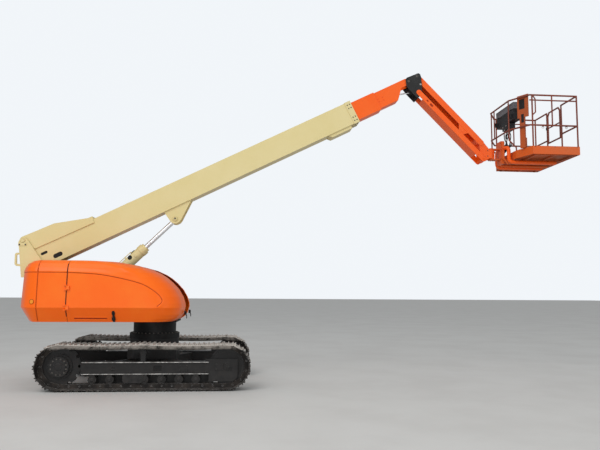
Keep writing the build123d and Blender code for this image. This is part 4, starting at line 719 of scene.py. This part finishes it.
seams = []
for y in (-0.1705, 0.1705):
    seams.append([boom_point(x, y, z) for x, z in ((0.14, -0.23), (0.60, -0.234), (1.262, -0.247),
        (1.277, -0.146))])
    seams.append([boom_point(6.498, y, z) for z in (-0.612, -0.173)])
for y in (-0.1155, -0.1425, 0.1155, 0.1425):
    seams.append([boom_point(x, y, -0.6115) for x in (2.485, 2.75, 3.046)])
for y in (-0.1465, 0.1465):
    seams.append([boom_point(x, y, -0.6115) for x in (5.952, 6.2, 6.428)])
seams.append([boom_point(6.498, y, -0.1735) for y in (-0.17, 0.17)])
seams.append([boom_point(1.2735, y, -0.1740) for y in (-0.168, 0.168)])
welds("base_welds", "base_boom", seams, cream)

PAD_X = (6.535, 6.585)
boom_up = boom_point(0, 0, 1) - boom_point(0, 0, 0)
pad_spots = [(boom_point(x, y * 0.180, z), Vector((0, y, 0))) for y in (-1, 1) for x in PAD_X
             for z in (-0.56, -0.49, -0.30, -0.23)]
pad_spots += [(boom_point(x, y, z), way) for x in PAD_X for y in (-0.11, -0.05, 0.05, 0.11)
              for z, way in ((-0.165, boom_up), (-0.620, -boom_up))]
bolts("pad_bolts", "base_boom", pad_spots, 0.009)
guide = bmesh.new()
add_prism(guide, [boom_point(x, -0.060, z) for x, z in (
    (2.06, -0.175), (2.06, -0.160), (1.93, -0.148), (1.85, -0.160), (1.85, -0.175))], (0, 0.120, 0))
new_piece("top_guide", "base_boom", cream, guide, bevel=0.003)

# Thin black plates in the root's slots are painted shade for their dark interiors.
slot_shade = bmesh.new()
for y in (-0.1625, 0.1615):
    add_prism(slot_shade, [boom_point(x, y, z) for x, z in ((0.13, -0.56), (0.56, -0.56), (0.56, -0.33),
        (0.13, -0.33))], (0, 0.001, 0))
new_piece("root_slot_shades", "base_boom", shadow_rubber, slot_shade)

pin_parts, pin_spots = bmesh.new(), []
lug_parts, lug_spots, fly_spots = bmesh.new(), [], []
for side, _ in SIDES:
    out = Vector((0, side, 0))
    add_lathe(pin_parts, PIVOT + out * 0.2492, out, ((0, 0), (38, 0), (38, 4), (26, 4), (24, 1), (0, 1)), 32)
    pin_spots += [(PIVOT + Vector((x, side * 0.243, -0.082)), out) for x in (-0.052, 0.052)]
    add_slab(pin_parts, PIVOT + Vector((-0.075, side * 0.235, -0.105)),
        PIVOT + Vector((0.075, side * 0.243, -0.046)))
    lug_end = boom_point(LUG_X, side * 0.1592, LUG_Z)
    add_lathe(lug_parts, lug_end, out, ((0, 0), (40, 0), (40, 3), (30, 3), (28, 0.5), (0, 0.5)), 28)
    lug_spots.append((lug_end + out * 0.0005, out))
    fly_spots += [(boom_point(x, side * 0.1272, z), out) for x in (7.16, 7.26) for z in (-0.36, -0.42)]
new_piece("pivot_keepers", "turntable", cream, pin_parts, bevel=0.0012)
bolts("pivot_bolts", "turntable", pin_spots, 0.011)
new_piece("lug_caps", "base_boom", cream, lug_parts)
bolts("lug_bolts", "base_boom", lug_spots, 0.012)
bolts("fly_bolts", "fly_boom", fly_spots, 0.008, boom_orange)


# Lift cylinder: a hard line held by three clips along the barrel, a round black port on
# the near side, two black blocks before the gland and weld rings round the barrel.
def add_pipe(bm, points, radius, sides=10, bend=0.04):
    path = [points[0]]
    for before, corner, after in zip(points, points[1:], points[2:]):
        a, b = (before - corner), (after - corner)
        reach = min(bend, a.length * 0.45, b.length * 0.45)
        start, end = corner + a.normalized() * reach, corner + b.normalized() * reach
        for t in (k / 6 for k in range(7)):
            path.append(start * (1 - t) ** 2 + corner * 2 * t * (1 - t) + end * t * t)
    path.append(points[-1])
    across = (path[1] - path[0]).normalized().orthogonal().normalized()
    turns = [2 * math.pi * n / sides for n in range(sides)]
    rings = []
    for k, spot in enumerate(path):
        along = (path[min(k + 1, len(path) - 1)] - path[max(k - 1, 0)]).normalized()
        across = (across - along * across.dot(along)).normalized()
        other = along.cross(across)
        rings.append([bm.verts.new(spot + (across * math.cos(a) + other * math.sin(a)) * radius)
            for a in turns])
    bm.faces.new(rings[0][::-1])
    bm.faces.new(rings[-1])
    skin_rings(bm, rings)


FOOT = machine(-1.537, 0, 1.170)
lift_along = (boom_point(LUG_X, 0, LUG_Z) - FOOT).normalized()
lift_up = Vector((-lift_along.z, 0, lift_along.x))


def on_lift(x, y, z):
    return FOOT + lift_along * x + Vector((0, y, 0)) + lift_up * z


line_parts = bmesh.new()
add_pipe(line_parts, [on_lift(x, y, z) for x, y, z in (
    (0.22, -0.03, 0.096), (0.22, -0.04, 0.118), (1.6, -0.04, 0.118), (1.6, -0.02, 0.096))], 0.0075)
for x in (0.45, 0.95, 1.45):
    add_prism(line_parts, [on_lift(x - 0.012, y, z) for y, z in (
        (-0.060, 0.070), (-0.058, 0.124), (-0.022, 0.128), (-0.018, 0.092))], lift_along * 0.024)
new_piece("lift_hard_line", "lift_barrel", cream, line_parts)
port = bmesh.new()
add_lathe(port, on_lift(1.520, -0.0853, 0.0480), Vector((0, -0.87, 0)) + lift_up * 0.49,
          ((0, -12), (42, -12), (42, 9), (34, 13), (20, 13), (18, 8), (0, 8)), 24)
for side, _ in SIDES:
    add_prism(port, [on_lift(x, side * 0.030, z) for x, z in (
        (1.575, 0.090), (1.665, 0.090), (1.665, 0.108), (1.575, 0.108))], (0, -side * 0.028, 0))
new_piece("lift_port", "lift_barrel", shadow_rubber, port, bevel=0.001)
lift_seams = [[on_lift(x, y, z) for y, z in circle(40, r, 0) + [(r, 0)]]
              for x, r in ((0.150, 0.0975), (1.730, 0.0990), (1.8215, 0.0850))]
welds("lift_welds", "lift_barrel", lift_seams, cream, 0.004)


# Knuckle and levelling cylinder: black-coated plates. The ends of the upper and the tip pin
# have keepers with two bolts each, a flat bare stud shows between the jib's two pins, and
# a turned gland closes the levelling cylinder.
KNUCKLE_Y = 0.149
PIN_SPREAD, LEAN = 0.330, math.radians(5)
UPPER_PIN = machine(4.985, 0, 5.915)
LOWER_PIN = UPPER_PIN + Vector((PIN_SPREAD * math.sin(LEAN), 0, -PIN_SPREAD * math.cos(LEAN)))
TIP_PIN = boom_point(7.880, 0, -0.300)
pin_steel = two_tone("pin_steel", ((0.55, 0.54, 0.53), (0.30, 0.27, 0.24), 40.0, 0.8), (0.25, 0.45),
    (700.0, 0.1, 0.0004), Metallic=0.9)
keepers, ends, studs, keeper_bolts = bmesh.new(), bmesh.new(), bmesh.new(), []
for side, _ in SIDES:
    out = Vector((0, side, 0))
    for pin, turn in ((UPPER_PIN, 2.2), (TIP_PIN, 0.9)):
        face = pin + out * KNUCKLE_Y
        add_lathe(ends, face, out, ((0, 0), (24, 0), (24, 4), (20, 6), (8, 6), (6, 3), (0, 3)), 28)
        along = Vector((math.cos(turn), 0, math.sin(turn)))
        across = Vector((-along.z, 0, along.x))
        add_prism(keepers, [face + along * u + across * v for u, v in (
            (0.026, 0.022), (0.026, -0.022), (0.050, -0.022), (0.050, 0.022))], out * 0.004)
        keeper_bolts += [(face + along * 0.038 + across * v + out * 0.004, out) for v in (-0.013, 0.013)]
    # The lower arm passes 5 mm outside the knuckle, so the studs stay under that.
    add_lathe(studs, (UPPER_PIN + LOWER_PIN) / 2 + Vector((0.050, side * KNUCKLE_Y, 0)), out,
              ((0, 0), (21, 0), (21, 2.5), (10, 4), (0, 4)), 20)
new_piece("knuckle_keepers", "knuckle", satin_black, keepers, bevel=0.0008)
new_piece("knuckle_pins", "knuckle", bolt_steel, ends)
new_piece("knuckle_studs", "knuckle", pin_steel, studs)
bolts("keeper_bolts", "knuckle", keeper_bolts, 0.006)
level_foot = boom_point(7.100, 0, -0.300)
level_along = (TIP_PIN + Vector((0.062, 0, -0.185)) - level_foot).normalized()
gland = bmesh.new()
add_lathe(gland, level_foot + level_along * 0.385, level_along, ((30.5, 0), (34, 3), (34, 36), (30.5, 40)),
    24)
new_piece("level_gland", "level_barrel", pin_steel, gland)


# Jib: two folded arms on four pins. Each side of the lower arm has two slots, painted shade as thin dark
# orange plates, and pin caps with a keeper bolt each; the upper arm's lug is welded on, and bolts ring the
# rotator.
JIB_ANGLE = math.radians(-45.5)


def jib_point(pin, x, y, z):
    return leaned(pin, JIB_ANGLE, x, y, z)


caps, slot_shades, arm_spots, plate_spots = bmesh.new(), bmesh.new(), [], []
for side, _ in SIDES:
    out = Vector((0, side, 0))
    for x in (0.0, 1.830):
        centre = jib_point(LOWER_PIN, x, side * 0.1622, 0)
        add_lathe(caps, centre, out, ((0, 0), (27, 0), (27, 4), (18, 6), (0, 6)), 28)
        arm_spots.append((centre + out * 0.006, out))
    for x0, x1, low, high in ((0.215, 0.262, -0.010, 0.018), (0.318, 0.392, -0.022, 0.020)):
        add_prism(slot_shades, [jib_point(LOWER_PIN, x, side * 0.1621, z) for x, z in (
            (x0, low), (x1, low), (x1, high), (x0, high))], out * 0.0008)
    arm_spots += [(jib_point(LOWER_PIN, x, side * 0.1621, -0.018), out) for x in (1.62, 1.70)]
    plate_spots += [(machine(x, side * 0.1132, z), out)
                    for x, z in ((6.40, 4.46), (6.40, 4.35), (6.33, 4.34))]
new_piece("lower_arm_caps", "lower_arm", boom_orange, caps)
bolts("lower_arm_bolts", "lower_arm", arm_spots, 0.007, boom_orange)
new_piece("lower_arm_slot_shades", "lower_arm", dark_orange_and_shade, slot_shades)
arm_seams = []
for y in (-0.1245, 0.1245):
    arm_seams.append([jib_point(UPPER_PIN, x, y, -0.055) for x in (1.255, 1.38, 1.508)])
    arm_seams.append([jib_point(UPPER_PIN, x, y * 0.985, 0.055) for x in (0.08, 0.9, 1.71)])
welds("arm_welds", "upper_arm", arm_seams, boom_orange, 0.0035)
ROTATOR_X, ROTATOR_TOP, ROTATOR_FOOT = 6.515, 4.5135, 4.2865
cap = bmesh.new()
add_lathe(cap, machine(ROTATOR_X, 0, ROTATOR_TOP), UP, ((0, 0), (50, 0), (50, 10), (42, 14), (0, 14)), 32)
new_piece("rotator_cap", "platform", boom_orange, cap)
bolts("rotator_bolts", "platform", [(machine(ROTATOR_X + u, v, z), way) for u, v in circle(8, 0.060, 0)
    for z, way in ((ROTATOR_TOP, UP), (ROTATOR_FOOT, -UP))], 0.006)
bolts("head_bolts", "jib_head", plate_spots, 0.008)


# Platform: bent and welded steel tube over a sheet floor with kick plates, in the same orange with worn spots
# from boots. It is duller, browner and darker on the console post; the rails' much darker copy is painted
# shade for rails seen from below against the sky, and the floor's darker, blotchier copy is painted shade for
# its shaded underside.
def worn_orange(name, colour, faded, film_and_bounce, amount, rough, chip, chips, *worn_nodes):
    coat = enamel(name, colour, faded, film_and_bounce, amount, -2, -1, rough, chip, chips)
    dress(coat, *worn_nodes)
    return coat


worn_orange("cage_orange", (0.70, 0.112, 0.014), (0.56, 0.130, 0.035), (0.42, 0.22, 0.12), 0.3, 0.42,
            (0.20, 0.13, 0.10), 0.8, "platform_bracket", "kick_plates")
worn_orange("post_orange", (0.50, 0.090, 0.018), (0.36, 0.090, 0.030), (0.40, 0.24, 0.15), 0.3, 0.45,
            (0.18, 0.12, 0.09), 0.8, "console_post")
# Painted shade: the rails' darker copy of the orange.
worn_orange("rail_shade_orange", (0.25, 0.052, 0.026), (0.17, 0.052, 0.036), (0.30, 0.20, 0.16), 0.3, 0.48,
            (0.14, 0.10, 0.08), 0.8, "guard_rails", "platform_gate")
# Painted shade: the floor's darker copy of the orange, for its shaded underside.
floor_shade_orange = worn_orange("floor_shade_orange", (0.52, 0.090, 0.016), (0.19, 0.055, 0.018), (0.30, 0.20, 0.15),
    0.4, 0.6, (0.12, 0.09, 0.07), 0.9, "platform_floor")

FLOOR_TOP = 4.279
ROWS, COLUMNS = 26, 54
tread, given = growth("tread_studs", Stud_Length=0.026, Stud_Width=0.007, Stud_Height=0.0014)
stud = add_node(tread, "GeometryNodeMeshCone", {"Vertices": 4, "Radius Top": 0.35, "Radius Bottom": 1.0,
    "Depth": 1.0})
size = add_node(tread, "ShaderNodeCombineXYZ", {"X": given["Stud Length"], "Y": given["Stud Width"],
    "Z": given["Stud Height"]}).outputs["Vector"]
shaped = add_node(tread, "GeometryNodeTransform", {"Geometry": stud.outputs["Mesh"], "Scale": size})
slant = add_node(tread, "GeometryNodeInputNamedAttribute", {"Name": "slant"}, data_type="FLOAT")
lean = add_node(tread, "ShaderNodeCombineXYZ", {"Z": slant.outputs["Attribute"]}).outputs["Vector"]
plant(tread, given, shaped.outputs["Geometry"], lean)
grid = [(row, column) for row in range(ROWS) for column in range(COLUMNS)]
tread_spots = bpy.data.meshes.new("tread_studs")
tread_spots.from_pydata([machine(7.010 + row * 0.0335, -0.850 + column * 0.0321, FLOOR_TOP + 0.0003)
    for row, column in grid], [], [])
angles = tread_spots.attributes.new("slant", "FLOAT", "POINT")
for k, (row, column) in enumerate(grid):
    angles.data[k].value = math.radians(45 if (row + column) % 2 else -45)
grown("tread_studs", tread, tread_spots, "platform", Stud_Length=0.013, Stud_Width=0.0045, Stud_Height=0.0016,
      Finish=floor_shade_orange)

struts = bmesh.new()
for side, _ in SIDES:
    add_pipe(struts, [machine(x, side * y, z) for x, y, z in (
        (6.705, 0.1, 4.5), (6.75, 0.3, 4.5), (6.75, 0.3, 4.2), (7.7, 0.3, 4.2))], 0.036, 20, 0.085)
new_piece("floor_struts", "platform", boom_orange, struts, smooth=True)

cage_spots = [(machine(x, y, FLOOR_TOP + 0.0002), UP) for y in (-0.78, -0.40, 0.0, 0.40, 0.78)
              for x in (7.060, 7.795)]
cage_spots += [(machine(x, side * 0.8852, 4.385), Vector((0, side, 0))) for x in (7.02, 7.40, 7.83)
               for side in (-1, 1)]
cage_spots += [(machine(6.6748, y, z), Vector((-1, 0, 0))) for z in (4.30, 4.62) for y in (-0.085, 0.085)]
bolts("platform_bolts", "platform", cage_spots, 0.0065)

rings = bmesh.new()
for x, side in ((7.20, -1), (7.66, -1), (7.20, 1), (7.66, 1)):
    middle = machine(x, side * 0.833, 4.800)
    loop = [middle + Vector((u, 0, v - 0.030)) for u, v in circle(20, 0.020, 0)]
    for a, b in zip(loop, loop[1:] + loop[:1]):
        reach = (b - a).length * 1000 + 1
        add_lathe(rings, a, b - a, ((0, -1), (4, -1), (4, reach), (0, reach)), 8)
    add_slab(rings, middle + Vector((-0.016, -side * 0.004, -0.020)),
        middle + Vector((0.016, side * 0.016, -0.008)))
new_piece("harness_rings", "platform", pin_steel, rings)
catch = bmesh.new()
add_slab(catch, machine(7.834, 0.306, 5.020), machine(7.858, 0.331, 5.075))
add_pipe(catch, [machine(x, 0.318, z) for x, z in ((7.846, 5.075), (7.846, 5.11), (7.815, 5.11))], 0.006, 8,
    0.012)
new_piece("gate_catch", "platform", shadow_rubber, catch, bevel=0.0015)


# Foot switch: a cast black treadle under a bent steel guard, bolted to the floor inside
# the console's rail; its cover plate is ribbed for grip.
box_black = two_tone("box_black", ((0.010, 0.010, 0.011), (0.024, 0.024, 0.025), 14.0, 0.7), (0.45, 0.62),
    (900.0, 0.2, 0.0006, 2.0, 0.004), Specular_IOR_Level=0.4)


def by_pedal(x, y, z):
    return machine(7.13 + x, y - 0.10, FLOOR_TOP + z)


pedal, guard = bmesh.new(), bmesh.new()
add_prism(pedal, [by_pedal(x, -0.06, z) for x, z in ((-0.1, 0), (0.1, 0), (0.1, 0.02), (-0.1, 0.058))],
    (0, 0.12, 0))
for k in range(6):
    x = -0.080 + k * 0.028
    z = 0.058 - 0.038 * (x + 0.10) / 0.20
    add_slab(pedal, by_pedal(x - 0.003, -0.05, z - 0.002), by_pedal(x + 0.003, 0.05, z + 0.003))
new_piece("foot_switch", "platform", box_black, pedal, bevel=0.002)
add_pipe(guard, [by_pedal(-0.115, y, z) for y, z in ((-0.085, 0), (-0.085, 0.11), (0.085, 0.11), (0.085, 0))],
         0.007, 10, 0.03)
new_piece("foot_switch_guard", "platform", pin_steel, guard)


# Console: a moulded black box with two joysticks, a row of toggle switches, a red stop button and a gray lid
# raised behind it. Seven fixed pipes, four with pale wraps, run down from a black loom box, and the post's
# panel has a dark box above a slot whose shade is painted as a thin black plate.
dress(box_black, "console")
lid_gray = two_tone("lid_gray", ((0.115, 0.115, 0.125), (0.165, 0.165, 0.175), 9.0, 0.8), (0.42, 0.62),
    (600.0, 0.25, 0.0008, 3.0, 0.006))
dress(lid_gray, "console_lid")
stop_red = two_tone("stop_red", ((0.60, 0.012, 0.008), (0.42, 0.02, 0.014), 50.0, 0.7), (0.25, 0.42),
    (500.0, 0.05, 0.0003), Coat_Weight=0.3)
BOX_X, FACE_Z = 6.774, 5.166
sticks, toggles, stop = bmesh.new(), bmesh.new(), bmesh.new()
ahead = Vector((1, 0, 0))


def on_face(y, z=FACE_Z):
    return machine(BOX_X + 0.210, y, z)


for y in (-0.34, 0.14):
    add_lathe(sticks, on_face(y), ahead, (
        (0, -2), (34, -2), (34, 6), (26, 12), (29, 18), (20, 24), (22, 30), (12, 36), (11, 70), (19, 80),
        (21, 100), (14, 112), (0, 114)), 24)
for k in range(9):
    add_lathe(toggles, on_face(-0.250 + k * 0.036, 5.185 if k % 2 else 5.150), ahead, (
        (0, 0), (9, 0), (9, 4), (5, 6), (5, 10), (2.5, 10), (4, 30), (0, 31)), 12)
add_lathe(stop, on_face(-0.440), ahead, ((0, 0), (12, 0), (12, 14), (24, 16), (24, 26), (14, 32), (0, 33)),
    28)
new_piece("joysticks", "platform", shadow_rubber, sticks)
new_piece("toggle_switches", "platform", pin_steel, toggles)
new_piece("stop_button", "platform", stop_red, stop)

slabs("loom_box", "platform", box_black, [(6.731, 6.900, -0.300, -0.060, 4.860, 4.992)], bevel=0.006)
pale_tape = two_tone("pale_tape", ((0.70, 0.69, 0.66), (0.45, 0.43, 0.40), 40.0, 0.7), None,
    (300.0, 0.1, 0.0005), Roughness=0.6)
pipes, unions, tapes = bmesh.new(), bmesh.new(), bmesh.new()
for k in range(7):
    y = -0.275 + k * 0.030
    top = machine(6.760 + 0.030 * (k % 3), y, 4.862)
    waist = machine(6.745 + 0.075 * (k % 2), y - 0.020, 4.700 + 0.030 * (k % 3))
    hip = machine(6.850 - 0.045 * (k % 3), y + 0.030, 4.560 - 0.020 * (k % 2))
    low = [machine(x, y * 0.40, z) for x, z in ((6.755, 4.430), (6.722, 4.400), (6.722, 4.330))]
    add_pipe(pipes, [top, waist, hip, *low], 0.0095, 8, 0.045)
    add_lathe(unions, top, -UP, ((0, 0), (13, 0), (13, 18), (10.5, 24), (0, 24)), 6)
    if k % 2:
        continue
    for start, end, share in ((top, waist, 0.55), (waist, hip, 0.5)):
        along = (end - start).normalized()
        add_lathe(tapes, start.lerp(end, share) - along * 0.016, along,
                  ((9.5, 0), (12.5, 0), (12.5, 32), (9.5, 32)), 10)
new_piece("fixed_pipes", "platform", shadow_rubber, pipes, smooth=True)
new_piece("pipe_tapes", "platform", pale_tape, tapes)
for y, z in ((-0.260, 4.93), (-0.180, 4.86), (-0.110, 4.93)):
    add_lathe(unions, machine(6.733, y, z), -ahead, ((0, -3), (16, -3), (16, 10), (10, 14), (0, 14)), 16)
new_piece("pipe_unions", "platform", pin_steel, unions)
hinges = bmesh.new()
for y in (-0.43, 0.17):
    add_lathe(hinges, machine(BOX_X - 0.006, y, 5.214), (0, 1, 0), ((0, 0), (8, 0), (8, 60), (0, 60)), 12)
new_piece("lid_hinges", "platform", shadow_rubber, hinges)

PANEL_TURN = math.atan2(0.450 - 0.863, 6.940 - 6.710)
window = bmesh.new()
# The second, thin plate is painted shade for the slot in the post's panel.
for x0, x1, y0, y1, z0, z1 in ((0.208, 0.352, 0.0335, 0.080, 5.142, 5.353),
        (0.264, 0.324, 0.0175, 0.019, 4.885, 5.05)):
    spun = [(x * math.cos(PANEL_TURN) - y * math.sin(PANEL_TURN),
             x * math.sin(PANEL_TURN) + y * math.cos(PANEL_TURN))
            for x, y in ((x0, y0), (x1, y0), (x1, y1), (x0, y1))]
    add_prism(window, [machine(6.710 + x, -0.450 + y, z0) for x, y in spun], (0, 0, z1 - z0))
new_piece("post_box", "platform", box_black, window, bevel=0.0006)


# Cylinder rods: ground and hard-chromed bar, with soft clouds in its polish and the faint
# unevenness that wiping leaves.
chrome = two_tone("rod_chrome", ((0.86, 0.86, 0.88), (0.74, 0.74, 0.75), 18.0, 0.5), (0.26, 0.36),
    (300.0, 0.01, 0.0003), Metallic=1.0)
dress(chrome, "lift_rod", "level_rod", "jib_rod")
